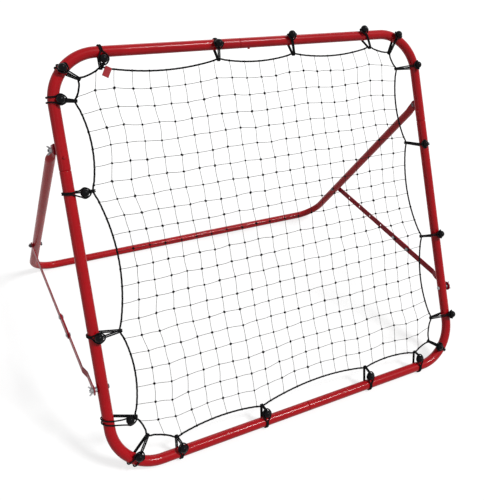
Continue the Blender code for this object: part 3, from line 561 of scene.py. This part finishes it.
def strand(path, radius, sides, closed=False, plies=0, ply_depth=0.0, ply_turns=0.0):
    """A round cord along a path; with plies its surface has that many laid ridges."""
    path = np.array(path, float)
    count = len(path)
    ahead = np.roll(path, -1, axis=0) - path
    behind = path - np.roll(path, 1, axis=0)
    if not closed:
        ahead[-1] = behind[-1]
        behind[0] = ahead[0]
    along = ahead / np.linalg.norm(ahead, axis=1)[:, None]
    along += behind / np.linalg.norm(behind, axis=1)[:, None]
    along /= np.linalg.norm(along, axis=1)[:, None]
    distance = np.concatenate([[0.0], np.cumsum(np.linalg.norm(ahead, axis=1))[:-1]])
    side = np.zeros_like(path)
    start = np.array((0.0, 0.0, 1.0)) if abs(along[0][2]) < 0.9 else np.array((1.0, 0.0, 0.0))
    side[0] = unit(np.cross(along[0], start))
    for i in range(1, count):
        side[i] = unit(side[i - 1] - along[i] * side[i - 1].dot(along[i]))
    other = np.cross(along, side)
    if closed:
        back = unit(side[-1] - along[0] * side[-1].dot(along[0]))
        slip = math.atan2(back.dot(other[0]), back.dot(side[0]))
        turn = -slip * np.arange(count) / count
        side, other = (side * np.cos(turn)[:, None] + other * np.sin(turn)[:, None],
                       other * np.cos(turn)[:, None] - side * np.sin(turn)[:, None])
    angles = FULL_TURN * np.arange(sides) / sides
    radii = np.full((count, sides), float(radius))
    if plies:
        total = distance[-1] + np.linalg.norm(ahead[-1])
        rounds = round(ply_turns * total)
        phase = FULL_TURN * rounds * distance[:, None] / total
        radii *= 1.0 - ply_depth + ply_depth * np.abs(
            np.cos(0.5 * (plies * angles[None, :] + phase)))
    ring = (side[:, None] * np.cos(angles)[None, :, None]
            + other[:, None] * np.sin(angles)[None, :, None])
    points = (path[:, None] + ring * radii[:, :, None]).reshape(-1, 3)
    lay = np.stack([np.repeat(distance, sides), np.tile(np.cos(angles), count),
                    np.tile(np.sin(angles), count)], axis=1)
    faces = []
    for i in range(count if closed else count - 1):
        faces += band(i * sides, (i + 1) % count * sides, sides)
    if not closed:
        faces.append(tuple(reversed(range(sides))))
        faces.append(tuple(range((count - 1) * sides, count * sides)))
    return points, faces, lay


def band(here, there, sides):
    """The faces between two rings of points."""
    return [(here + j, here + (j + 1) % sides, there + (j + 1) % sides, there + j)
            for j in range(sides)]


def turned(centre, axis, profile, sides):
    """A solid turned about an axis through (height, radius) points that end on the axis."""
    axis = Vector(axis).normalized()
    one = axis.orthogonal().normalized()
    two = axis.cross(one)
    points = [np.array(centre + axis * profile[0][0])]
    for height, radius in profile[1:-1]:
        for k in range(sides):
            turn = FULL_TURN * k / sides
            offset = one * math.cos(turn) + two * math.sin(turn)
            points.append(np.array(centre + axis * height + offset * radius))
    points.append(np.array(centre + axis * profile[-1][0]))
    last = len(points) - 1
    rows = len(profile) - 2
    faces = [(0, 1 + (j + 1) % sides, 1 + j) for j in range(sides)]
    for i in range(rows - 1):
        faces += band(1 + i * sides, 1 + (i + 1) * sides, sides)
    base = 1 + (rows - 1) * sides
    faces += [(last, base + j, base + (j + 1) % sides) for j in range(sides)]
    return np.array(points), faces, np.zeros((len(points), 3))


def pipe(stations, normal, sides):
    """An open tube along a flat path of (point, outer, inner) stations.

    Outer and inner are a radius each, or half the thickness, half the width and how square a
    pressed section is.
    """
    normal = np.array(normal)
    path = np.array([tuple(point) for point, _, _ in stations])
    ahead = np.diff(path, axis=0)
    ahead /= np.linalg.norm(ahead, axis=1)[:, None]
    first = np.vstack([ahead[:1], ahead])
    second = np.vstack([ahead, ahead[-1:]])
    along = first + second
    along /= np.linalg.norm(along, axis=1)[:, None]
    across = np.cross(normal, along)
    across /= np.sum(along * second, axis=1)[:, None]
    angles = FULL_TURN * np.arange(sides) / sides
    points = []
    for column in (1, 2):
        sizes = [station[column] for station in stations]
        sizes = np.array([size if isinstance(size, tuple) else (size, size, 1.0) for size in sizes])
        level = np.clip(sizes[:, 2:] * np.cos(angles)[None, :], -1.0, 1.0) * sizes[:, :1]
        height = np.sin(angles)[None, :] * sizes[:, 1:2]
        points.append((path[:, None] + across[:, None] * level[:, :, None]
                       + normal[None, None] * height[:, :, None]).reshape(-1, 3))
    count, total = len(stations), len(stations) * sides
    faces = []
    for i in range(count - 1):
        for j in range(sides):
            k = (j + 1) % sides
            a, b = i * sides, (i + 1) * sides
            faces.append((a + j, a + k, b + k, b + j))
            faces.append((total + a + k, total + a + j, total + b + j, total + b + k))
    for j in range(sides):
        k = (j + 1) % sides
        end = total - sides
        faces.append((j, total + j, total + k, k))
        faces.append((end + k, total + end + k, total + end + j, end + j))
    points = np.vstack(points)
    return points, faces, np.zeros((len(points), 3))


def piece(name, shapes, finish, body, stands_for=()):
    """One object made of shapes, dressed and riding on its body."""
    points, faces, lays, base = [], [], [], 0
    for shape_points, shape_faces, shape_lay in shapes:
        points.append(shape_points)
        lays.append(shape_lay)
        faces += [tuple(index + base for index in face) for face in shape_faces]
        base += len(shape_points)
    points = np.vstack(points)
    mesh = bpy.data.meshes.new(name)
    mesh.from_pydata(points.tolist(), [], faces)
    attribute = mesh.attributes.new("lay", "FLOAT_VECTOR", "POINT")
    attribute.data.foreach_set("vector", np.vstack(lays).astype(np.float32).ravel())
    mesh.materials.append(finish)
    mesh.shade_smooth()
    mesh.set_sharp_from_angle(angle=SHARP_ANGLE)
    obj = add_object(name, mesh)
    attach(obj, body)
    if stands_for:
        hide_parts(*stands_for)
    return obj


# Frame tubes and rear leg

FINE_SIDES = 32
BEND_STEPS = 24
FRAME_WALL = (TUBE_RADIUS, TUBE_RADIUS - TUBE_WALL)
LEG_WALL = (LEG_TUBE_RADIUS, LEG_TUBE_RADIUS - TUBE_WALL)

# A tube's rounded mouth: distance from its tip, cut off the outer and the inner radius
MOUTH = ((0.0, 0.0004, -0.0002), (0.0003, 0.0001, 0.0), (0.0008, 0.0, 0.0), (0.0030, 0.0, 0.0))
AFTER_NECK = 0.0020


def eased(part):
    """A share from 0 to 1 that starts and ends gently."""
    return part * part * (3.0 - 2.0 * part)


def bend_centre(corner):
    """The centre of a corner's bend, as x and s."""
    side, level = CORNER_SIGNS[corner]
    x = side * (FRAME_HALF_WIDTH - BEND_RADIUS)
    s = BEND_RADIUS if level < 0 else FRAME_HEIGHT - BEND_RADIUS
    return x, s


def bend_point(corner, degrees):
    """A place on a corner's bend, 0 at its side tube and 90 at its top or bottom tube."""
    side, level = CORNER_SIGNS[corner]
    x, s = bend_centre(corner)
    turn = math.radians(degrees)
    return x + side * BEND_RADIUS * math.cos(turn), s + level * BEND_RADIUS * math.sin(turn)


def tube_end(place, step, male):
    """Stations at a tube's end, from its tip inwards: a rounded mouth or a swaged spigot."""
    if not male:
        return [(place(distance * step), FRAME_WALL[0] - off_outer, FRAME_WALL[1] - off_inner)
                for distance, off_outer, off_inner in MOUTH]
    swaged = (SPIGOT_RADIUS, SPIGOT_RADIUS - TUBE_WALL)
    stations = [(place(-SPIGOT_LENGTH * step), *swaged), (place(-GAP * step), *swaged)]
    for part in (0.25, 0.5, 0.75, 1.0):
        grown = SPIGOT_RADIUS + (TUBE_RADIUS - SPIGOT_RADIUS) * eased(part)
        stations.append((place(NECK_LENGTH * part * step), grown, grown - TUBE_WALL))
    stations.append((place((NECK_LENGTH + AFTER_NECK) * step), *FRAME_WALL))
    return stations


def hole_rings(place, seam, step, holes):
    """Stations before and after each hole on the straight that runs on from a seam."""
    beyond = sorted((hole - seam) * step for hole in holes if (hole - seam) * step > HOLE_MARGIN)
    return [(place((distance + shift) * step), *FRAME_WALL)
            for distance in beyond for shift in (-HOLE_MARGIN, HOLE_MARGIN)]


def faced_outwards(mesh):
    """Turn a closed mesh's faces outwards."""
    shell = bmesh.new()
    shell.from_mesh(mesh)
    bmesh.ops.recalc_face_normals(shell, faces=shell.faces)
    shell.to_mesh(mesh)
    shell.free()


def drill(tube, start, end):
    """Cut one round hole through the walls of a tube that lie between two points."""
    reach = (end - start).length
    profile = [(0.0, 0.0), (0.0, HOLE_RADIUS), (reach, HOLE_RADIUS), (reach, 0.0)]
    points, faces, _ = turned(start, end - start, profile, HOLE_SIDES)
    bit = bpy.data.meshes.new("drill")
    bit.from_pydata(points.tolist(), [], faces)
    faced_outwards(bit)
    faced_outwards(tube.data)
    cutter = add_object("drill", bit)
    cut = tube.modifiers.new("hole", "BOOLEAN")
    cut.operation = "DIFFERENCE"
    cut.solver = "EXACT"
    cut.object = cutter
    bpy.context.view_layer.update()
    shaped = tube.evaluated_get(bpy.context.evaluated_depsgraph_get())
    holed = bpy.data.meshes.new_from_object(shaped)
    holed.set_sharp_from_angle(angle=SHARP_ANGLE)
    tube.modifiers.clear()
    tube.data = holed
    bpy.data.objects.remove(cutter)
    bpy.data.meshes.remove(bit)


def quarter_tube(cross, upright, middle_seam, male_side, male_middle):
    """One of the four bent frame tubes, from its side seam round its bend to its other seam."""
    corner = cross + "_" + upright
    side, level = CORNER_SIGNS[corner]
    edge = side * FRAME_HALF_WIDTH
    level_s = 0.0 if level < 0 else FRAME_HEIGHT

    def up_side(distance):
        return on_frame(edge, SIDE_SEAM + distance)

    def along_middle(distance):
        return on_frame(middle_seam + distance, level_s)

    stations = tube_end(up_side, level, male_side)
    stations += hole_rings(up_side, SIDE_SEAM, level, (BUTTONS[upright][0], HOOK_S))
    for k in range(BEND_STEPS + 1):
        stations.append((on_frame(*bend_point(corner, 90.0 * k / BEND_STEPS)), *FRAME_WALL))
    tail = tube_end(along_middle, side, male_middle)
    tail += hole_rings(along_middle, middle_seam, side, (BUTTONS[cross][0],))
    return pipe(stations + tail[::-1], BEHIND, FINE_SIDES)


def tube_place(side, along):
    """The axis point at a place along one frame tube, and the way out of the frame there."""
    return {"left": ((-FRAME_HALF_WIDTH, along), (-1.0, 0.0)),
            "right": ((FRAME_HALF_WIDTH, along), (1.0, 0.0)),
            "top": ((along, FRAME_HEIGHT), (0.0, 1.0)),
            "bottom": ((along, 0.0), (0.0, -1.0))}[side]


def towards_net(way_out):
    return -(ACROSS * way_out[0] + UP_FRAME * way_out[1])


def drill_for_button(tube, side):
    along, degrees = BUTTONS[side]
    point, way_out = tube_place(side, along)
    turn = math.radians(degrees)
    reach = towards_net(way_out) * math.cos(turn) + BEHIND * math.sin(turn)
    drill(tube, on_frame(*point), on_frame(*point) + reach * BUTTON_REACH)


def dress_tubes():
    """The four frame tubes, drilled for their snap buttons and hook bolts."""
    for cross, word, seam, has_spigot in (("top", "upper_", TOP_SEAM, False),
                                          ("bottom", "lower_", BOTTOM_SEAM, True)):
        for upright, hand in (("left", -1), ("right", 1)):
            shape = quarter_tube(cross, upright, seam, has_spigot, upright == "left")
            tube = piece("coated_tube_" + word + upright, [shape], RED_COAT, "frame",
                         ["frame_" + word + upright])
            for side in (cross, upright):
                drill_for_button(tube, side)
            if cross == "bottom":
                out = ACROSS * hand
                hook = on_frame(0.0, HOOK_S)
                drill(tube, hook + out * HOOK_INSIDE, hook + out * HOOK_OUTSIDE)


# The arm's pressed tip: distance down from the pivot and half the width
PRESSED_TIP = (
    (-LEG_END, LEG_END_HALF_WIDE),
    (-LEG_END + 0.0012, 0.0102),
    (-FLAT_START - 0.002, 0.0116),
    (-FLAT_START, FLAT_HALF_WIDE),
    (FLAT_LENGTH - 0.004, FLAT_HALF_WIDE),
)
PRESSED_STEPS = 8
AFTER_RUN_OUT = 0.004


def pressed(thick, wide, square):
    return ((thick, wide, square), (thick - PRESSED_WALL, wide - TUBE_WALL, square))


def arm_end():
    """Stations of the arm from its rounded, pressed tip to where the tube is round again."""
    stations = [(PIVOT_X, down, *pressed(FLAT_HALF_THICK, wide, PRESSED_SQUARENESS))
                for down, wide in PRESSED_TIP]
    for k in range(PRESSED_STEPS + 1):
        part = k / PRESSED_STEPS
        grown = 0.6 * part + 0.4 * eased(part)
        x = PIVOT_X + (LEG_HALF_WIDTH - PIVOT_X) * grown
        thick = FLAT_HALF_THICK + (LEG_TUBE_RADIUS - FLAT_HALF_THICK) * grown
        wide = FLAT_HALF_WIDE + (LEG_TUBE_RADIUS - FLAT_HALF_WIDE) * grown
        square = PRESSED_SQUARENESS + (1.0 - PRESSED_SQUARENESS) * grown
        down = FLAT_LENGTH + (FLAT_RUN_OUT - FLAT_LENGTH) * part
        stations.append((x, down, *pressed(thick, wide, square)))
    whole = pressed(LEG_TUBE_RADIUS, LEG_TUBE_RADIUS, 1.0)
    stations.append((LEG_HALF_WIDTH, FLAT_RUN_OUT + AFTER_RUN_OUT, *whole))
    return stations


def dress_leg():
    """The U of the rear leg, its arms' ends pressed flat and its cross tube on the floor."""
    corner_x = LEG_HALF_WIDTH - LEG_BEND_RADIUS
    corner_down = LEG_LENGTH - LEG_BEND_RADIUS
    path = [(-x, down, outer, inner) for x, down, outer, inner in arm_end()]
    for centre, first, last in ((-corner_x, 180.0, 90.0), (corner_x, 90.0, 0.0)):
        for k in range(BEND_STEPS + 1):
            turn = math.radians(first + (last - first) * k / BEND_STEPS)
            path.append((centre + LEG_BEND_RADIUS * math.cos(turn),
                         corner_down + LEG_BEND_RADIUS * math.sin(turn), *LEG_WALL))
    path += arm_end()[::-1]
    lift = Vector((0.0, 0.0, LEG_TUBE_RADIUS - FOOT_HEIGHT))
    stations = []
    for x, down, outer, inner in path:
        share = max(0.0, down) / LEG_LENGTH
        stations.append((PIVOT + ACROSS * x + LEG_DOWN * down + lift * share, outer, inner))
    piece("coated_rear_leg", [pipe(stations, LEG_FACE, FINE_SIDES)], RED_COAT, "leg",
          ["rear_leg"])


# Net and edge rope

def side_chain(side):
    """The anchors along one side with its two corners, and which of x and s runs along it."""
    run = 0 if side in ("bottom", "top") else 1
    ends = ("bottom_" + side, "top_" + side) if run else (side + "_left", side + "_right")
    inner = [anchor for anchor, _ in SIDE_LOOPS[side]]
    return [CORNERS[ends[0]][0], *inner, CORNERS[ends[1]][0]], run


def side_place(side, along):
    """The rope's place at a distance along its side: straight pulls with a sag between."""
    chain, run = side_chain(side)
    inwards = 1.0 if side in ("bottom", "left") else -1.0
    sag = LEVEL_SAG if run == 0 else SIDE_SAG
    for first, last in zip(chain, chain[1:]):
        if along <= last[run] + TINY:
            break
    span = last[run] - first[run]
    part = (along - first[run]) / span
    across = first[1 - run] + part * (last[1 - run] - first[1 - run])
    across += inwards * sag * span * 4.0 * part * (1.0 - part)
    return (along, across) if run == 0 else (across, along)


def edge_pull(side, index):
    """How far the rope at an edge knot stands off the straight line between its corners."""
    chain, run = side_chain(side)
    first, last = chain[0], chain[-1]
    part = index / NET_GAPS
    along = first[run] + part * (last[run] - first[run])
    straight = first[1 - run] + part * (last[1 - run] - first[1 - run])
    return side_place(side, along)[1 - run] - straight


def fade(distance):
    return max(0.0, 1.0 - distance / EDGE_FADE) ** 2


def net_node(i, j):
    """One knot of the net, as x and s."""
    corner = {name: np.array(place) for name, (place, _) in CORNERS.items()}
    u = i / NET_GAPS
    v = j / NET_GAPS
    low = corner["bottom_left"] * (1.0 - u) + corner["bottom_right"] * u
    high = corner["top_left"] * (1.0 - u) + corner["top_right"] * u
    place = low * (1.0 - v) + high * v
    width = corner["bottom_right"][0] - corner["bottom_left"][0]
    height = corner["top_left"][1] - corner["bottom_left"][1]
    place[1] += edge_pull("bottom", i) * fade(v * height)
    place[1] += edge_pull("top", i) * fade((1.0 - v) * height)
    place[0] += edge_pull("left", j) * fade(u * width)
    place[0] += edge_pull("right", j) * fade((1.0 - u) * width)
    return place


KNOT_DRIFT = 0.0016
KNOT_DEPTH = 0.0010
KNOT_RADIUS = 0.0027
KNOT_SIDES = 8
STRING_BOW = 0.0011
STRING_SPACING = 0.0075
STRING_SIDES = 6
CROSSING_LIFT = 0.00035
EDGE_KNOT_RADIUS = 0.0028
EDGE_KNOT_STRETCH = 0.95


def knot(centre, radius, stretch, turn):
    """A small lumpy knot: an uneven ball of three rings."""
    along = UP_FRAME * math.cos(turn) + ACROSS * math.sin(turn)
    profile = [(-radius * stretch, 0.0), (-radius * stretch * 0.7, radius * 0.72),
               (-radius * 0.1, radius), (radius * stretch * 0.62, radius * 0.80),
               (radius * stretch, 0.0)]
    return turned(centre, along, profile, KNOT_SIDES)


def dress_net():
    """Twine strings both ways, knotted where they cross and tied to the rope at their ends."""
    chance = random.Random(7)
    knots = {}
    for j in range(NET_GAPS + 1):
        for i in range(NET_GAPS + 1):
            x, s = net_node(i, j)
            inside = 0 < i < NET_GAPS and 0 < j < NET_GAPS
            drift, depth = (KNOT_DRIFT, KNOT_DEPTH) if inside else (0.0, 0.0)
            knots[i, j] = (x + chance.uniform(-drift, drift), s + chance.uniform(-drift, drift),
                           chance.uniform(-depth, depth))
    shapes = []
    for upright in (False, True):
        lift = CROSSING_LIFT if upright else -CROSSING_LIFT
        for row in range(1, NET_GAPS):
            route = [knots[(row, k) if upright else (k, row)] for k in range(NET_GAPS + 1)]
            controls = []
            for (x0, s0, n0), (x1, s1, n1) in zip(route, route[1:]):
                controls.append(on_frame(x0, s0, n0 + lift))
                bow_x = chance.uniform(-STRING_BOW, STRING_BOW)
                bow_s = chance.uniform(-STRING_BOW, STRING_BOW)
                controls.append(on_frame(0.5 * (x0 + x1) + bow_x, 0.5 * (s0 + s1) + bow_s,
                                         0.5 * (n0 + n1)))
            controls.append(on_frame(*route[-1][:2], route[-1][2] + lift))
            path = smooth_path(controls, STRING_SPACING)
            shapes.append(strand(path, TWINE_RADIUS, STRING_SIDES))
    for (i, j), (x, s, n) in knots.items():
        if 0 < i < NET_GAPS and 0 < j < NET_GAPS:
            shapes.append(knot(on_frame(x, s, n), KNOT_RADIUS * chance.uniform(0.85, 1.15),
                               chance.uniform(1.0, 1.35), chance.uniform(0.0, math.pi)))
    piece("twine_net", shapes, TWINE, "frame", ["net"])
    return knots


ROPE_CONTROLS = 0.02
ROPE_SPACING = 0.0016
ROPE_SIDES = 12


def rope_path():
    """The rope's closed route, pulled out at each loop and sagging between."""
    controls = []
    for side, direction in (("bottom", 1), ("right", 1), ("top", -1), ("left", -1)):
        chain, run = side_chain(side)
        spots = []
        for first, last in zip(chain, chain[1:]):
            span = last[run] - first[run]
            steps = max(4, int(abs(span) / ROPE_CONTROLS))
            spots += [first[run] + span * k / steps for k in range(steps)]
        spots.append(chain[-1][run])
        spots = spots[::direction][:-1]
        controls += [on_frame(*side_place(side, along)) for along in spots]
    return smooth_path(controls, ROPE_SPACING, closed=True)


def dress_rope(knots):
    """The laid rope, with a knot where each string is tied to it."""
    shapes = [strand(rope_path(), ROPE_RADIUS, ROPE_SIDES, closed=True, plies=3, ply_depth=0.15,
                     ply_turns=70.0)]
    chance = random.Random(11)
    for (i, j), (x, s, _) in knots.items():
        on_level = j in (0, NET_GAPS) and 0 < i < NET_GAPS
        on_side = i in (0, NET_GAPS) and 0 < j < NET_GAPS
        if on_level or on_side:
            turn = math.radians(90.0 if on_level else 0.0)
            radius = EDGE_KNOT_RADIUS * chance.uniform(0.9, 1.1)
            shapes.append(knot(on_frame(x, s), radius, EDGE_KNOT_STRETCH, turn))
    piece("edge_rope", shapes, ROPE, "frame", ["border_cord"])


# Elastic loops with their balls

CORD_SPACING = 0.0016
CORD_SIDES = 10
CORD_CLEARANCE = 0.0001
ARC_STEP = math.radians(13.0)
ROPE_ARC_STEP = math.radians(32.0)
OVER_TUBE_MARGIN = math.radians(2.0)
PARTING_RATE = 2.5

# How far a loop's two halves stand off their middle: in general, and where they are spread wider
PAIR_SPREAD = 0.0018
WRAP_SPREADS = {
    "bungee_left_4": 0.0055,
    "bungee_left_1": 0.0047,
    "bungee_bottom_left": 0.0077,
    "bungee_top_left": 0.0035,
}
BESIDE_BALL = BALL_RADIUS + ELASTIC_RADIUS + 0.00015

# The bight over the ball: towards its hole, away from the tube, and to each side
BIGHT = (
    (0.0, 0.0, BESIDE_BALL),
    (0.0082, 0.0026, 0.0078),
    (0.0114, 0.0042, 0.0038),
)
BIGHT_END = (0.0124, 0.0046)

# Where each half leaves the ball's hole and comes back beside it: distance out and spread
IN_HOLE = (0.0050, 0.0012)
AT_MOUTH = (0.0098, PAIR_SPREAD)
BACK_AT_BALL = (0.0094, 0.0072)

# The ball's hole as (height, radius), and the ridge where its mould parts
BALL_HOLE = ((0.0052, 0.0), (0.0052, 0.0030), (0.0078, 0.0034), (0.0087, 0.0040))
BALL_SIDES = 28
BALL_DEGREES = range(28, 180, 8)
RIDGE_DEGREES = (84, 92)
RIDGE_HEIGHT = 0.00018


def loop_line(side, number):
    """A loop's place on the tube axis, its anchor on the rope and the way out of the frame."""
    anchor, place = CORNERS[side] if side in CORNERS else SIDE_LOOPS[side][number]
    corner = side
    up_bend = place - (FRAME_HEIGHT - BEND_RADIUS)
    if side in ("left", "right") and up_bend > 0.0:
        corner = "top_" + side
        place = math.degrees(math.asin(up_bend / BEND_RADIUS))
    if corner in CORNERS:
        wrap = np.array(bend_point(corner, place))
        return wrap, np.array(anchor), (wrap - np.array(bend_centre(corner))) / BEND_RADIUS
    wrap, outward = tube_place(side, place)
    return np.array(wrap), np.array(anchor), np.array(outward)


def around(centre, radius, first, last, step=ARC_STEP):
    """Points round a circle from one angle to another."""
    steps = max(2, int(math.ceil(abs(last - first) / step)))
    turns = first + (last - first) * np.arange(steps + 1) / steps
    return [centre + np.array((math.cos(turn), math.sin(turn))) * radius for turn in turns]


def loop_route(reach, anchor_along, ball, ball_along, spread):
    """One half of a loop: out of the ball, over the tube and round the rope, back to the tube
    and round it, and over the ball to its hole. Each point is towards the net, behind, its
    middle along the tube, and how far its half stands off that middle."""
    on_tube = TUBE_RADIUS + GAP + ELASTIC_RADIUS
    on_rope = ROPE_RADIUS + ELASTIC_RADIUS + CORD_CLEARANCE
    tube = np.zeros(2)
    rope = np.array((reach, 0.0))
    bearing = math.atan2(ball[1], ball[0])
    tangent = math.acos(on_tube / np.linalg.norm(ball))
    run = math.acos((on_tube - on_rope) / reach)
    touch = bearing + tangent
    over_tube = touch < -run - OVER_TUBE_MARGIN
    to_ball = ball - rope
    rope_front = math.atan2(to_ball[1], to_ball[0]) + math.acos(on_rope / np.linalg.norm(to_ball))
    rope_front = -run if over_tube else rope_front
    if over_tube:
        leave = around(tube, on_tube, touch, -run)
    else:
        leave = around(rope, on_rope, rope_front, 0.0)
    out = unit(leave[0] - ball)
    away = np.array((out[1], -out[0]))
    away *= math.copysign(1.0, away.dot(ball))

    def along(flat):
        share = (flat[0] - ball[0]) / (reach - ball[0])
        return ball_along + (anchor_along - ball_along) * min(1.0, max(0.0, share))

    route = [(*(ball + out * distance), ball_along, apart)
             for distance, apart in (IN_HOLE, AT_MOUTH)]
    if over_tube:
        route += [(*flat, along(flat), PAIR_SPREAD) for flat in leave]
    rope_arc = around(rope, on_rope, rope_front, run, ROPE_ARC_STEP)
    route += [(*flat, anchor_along, PAIR_SPREAD) for flat in rope_arc]
    tube_arc = around(tube, on_tube, run, FULL_TURN + bearing - tangent)
    for share in (0.15, 0.85):
        flat = rope_arc[-1] + (tube_arc[0] - rope_arc[-1]) * share
        route.append((*flat, anchor_along * (1.0 - share), PAIR_SPREAD))
    for k, flat in enumerate(tube_arc):
        share = k / (len(tube_arc) - 1)
        parted = PAIR_SPREAD + (spread - PAIR_SPREAD) * min(1.0, PARTING_RATE * share)
        route.append((*flat, 0.5 * ball_along * share * share, parted))
    back = unit(tube_arc[-1] - ball)
    route.append((*(ball + back * BACK_AT_BALL[0]), ball_along, BACK_AT_BALL[1]))
    route += [(*(ball + out * a + away * b), ball_along, c) for a, b, c in BIGHT]
    end = ball + out * BIGHT_END[0] + away * BIGHT_END[1]
    return route, (*end, ball_along, 0.0), out


def ball_shape(centre, axis):
    """A moulded ball with a fine parting ridge and a flared hole for its cord."""
    profile = list(BALL_HOLE)
    for degrees in BALL_DEGREES:
        turn = math.radians(degrees)
        ridge = RIDGE_HEIGHT if degrees in RIDGE_DEGREES else 0.0
        profile.append((BALL_RADIUS * math.cos(turn), (BALL_RADIUS + ridge) * math.sin(turn)))
    profile.append((-BALL_RADIUS, 0.0))
    return turned(centre, axis, profile, BALL_SIDES)


def dress_loop(name, side, number, ball):
    """A doubled elastic cord round the tube and the rope, its bight hooked over its ball."""
    wrap, anchor, outward = loop_line(side, number)
    tube_way = np.array((outward[1], -outward[0]))
    pull = anchor - wrap
    if np.dot(tube_way, (-pull[1], pull[0])) < 0.0:
        tube_way = -tube_way
    reach = float(-pull.dot(outward))
    anchor_along = float(pull.dot(tube_way))
    ball_along = ball[2] + ball[0] * anchor_along / reach
    centre = on_frame(*wrap)
    inward = towards_net(outward)
    beside = ACROSS * tube_way[0] + UP_FRAME * tube_way[1]

    def place(point, half=1.0):
        u, n, middle, spread = point
        return centre + inward * u + BEHIND * n + beside * (middle + half * spread)

    route, end, out = loop_route(reach, anchor_along, np.array(ball[:2]), ball_along,
                                 WRAP_SPREADS.get(name, PAIR_SPREAD))
    controls = [place(point) for point in route] + [place(end)]
    controls += [place(point, -1.0) for point in reversed(route)]
    path = smooth_path(controls, CORD_SPACING)
    piece(name + "_cord", [strand(path, ELASTIC_RADIUS, CORD_SIDES)], ELASTIC, "frame",
          [name])
    ball_centre = place((*ball[:2], ball_along, 0.0))
    ball_axis = inward * out[0] + BEHIND * out[1]
    piece(name + "_ball", [ball_shape(ball_centre, ball_axis)], BALL, "frame")


def dress_loops():
    for side, balls in BALLS.items():
        for number, ball in enumerate(balls):
            dress_loop("bungee_%s_%d" % (side, number + 1), side, number, ball)
    for corner, ball in CORNER_BALLS.items():
        dress_loop("bungee_" + corner, corner, 0, ball)


# Cloth tag

TAG_SIZE = (0.015, 0.024)
TAG_TOP = (-0.3600, 0.8905)
TAG_TILT = math.radians(30.0)
TAG_IN_FRONT = 0.0031
TAG_THICKNESS = 0.0005
TAG_COLUMNS = 9
TAG_ROWS = 13
TAG_WAVE = 0.0011
TAG_LIFT = 0.0012


def dress_tag():
    """A bare cloth tag hung over the rope, askew and gently curled."""
    points = []
    for j in range(TAG_ROWS + 1):
        for i in range(TAG_COLUMNS + 1):
            x = TAG_SIZE[0] * (i / TAG_COLUMNS - 0.5)
            drop = TAG_SIZE[1] * j / TAG_ROWS
            curl = TAG_WAVE * math.sin(3.0 * i / TAG_COLUMNS) + TAG_LIFT * (j / TAG_ROWS) ** 2
            aside = x * math.cos(TAG_TILT) - drop * math.sin(TAG_TILT)
            fall = x * math.sin(TAG_TILT) + drop * math.cos(TAG_TILT)
            points.append(tuple(on_frame(TAG_TOP[0] + aside, TAG_TOP[1] - fall,
                                         -TAG_IN_FRONT - curl)))
    width = TAG_COLUMNS + 1
    faces = [(j * width + i, j * width + i + 1, (j + 1) * width + i + 1, (j + 1) * width + i)
             for j in range(TAG_ROWS) for i in range(TAG_COLUMNS)]
    mesh = bpy.data.meshes.new("woven_tag")
    mesh.from_pydata(points, [], faces)
    mesh.materials.append(TAG_CLOTH)
    mesh.shade_smooth()
    tag = add_object("woven_tag", mesh)
    body = tag.modifiers.new("thickness", "SOLIDIFY")
    body.thickness = TAG_THICKNESS
    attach(tag, "frame")
    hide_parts("cloth_tag")


# Finishes on the solids that stay

# The pivot brackets, stays, pivot bolts, stay pins and stay nuts get darkened copies of their
# finishes: painted shade.
SOLID_FINISHES = {
    "pivot_bracket_": SHADE_DARKENED_COAT,
    "stay_rear_": SHADE_DARKENED_COAT,
    "stay_front_": SHADE_DARKENED_COAT,
    "snap_button_": RED_COAT,
    "pivot_bolt_": SHADE_DARKENED_ZINC,
    "stay_pin_": SHADE_DARKENED_ZINC,
    "stay_nut_": SHADE_DARKENED_ZINC,
}
REPLACED_PREFIXES = ("frame_", "rear_leg", "net", "border", "bungee", "cloth")


def dress_solids():
    """Give each shown solid its finish by its name; the brackets, stays, pivot bolts and stay pins
    and nuts get darkened finishes that paint shade on them.
    """
    for name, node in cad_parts.items():
        if name.startswith(REPLACED_PREFIXES):
            continue
        finishes = [finish for prefix, finish in SOLID_FINISHES.items() if name.startswith(prefix)]
        for slot in node.material_slots:
            slot.material = finishes[0] if finishes else ZINC


set_camera()
set_studio()
dress_solids()
dress_tubes()
dress_leg()
net_knots = dress_net()
dress_rope(net_knots)
dress_loops()
dress_tag()
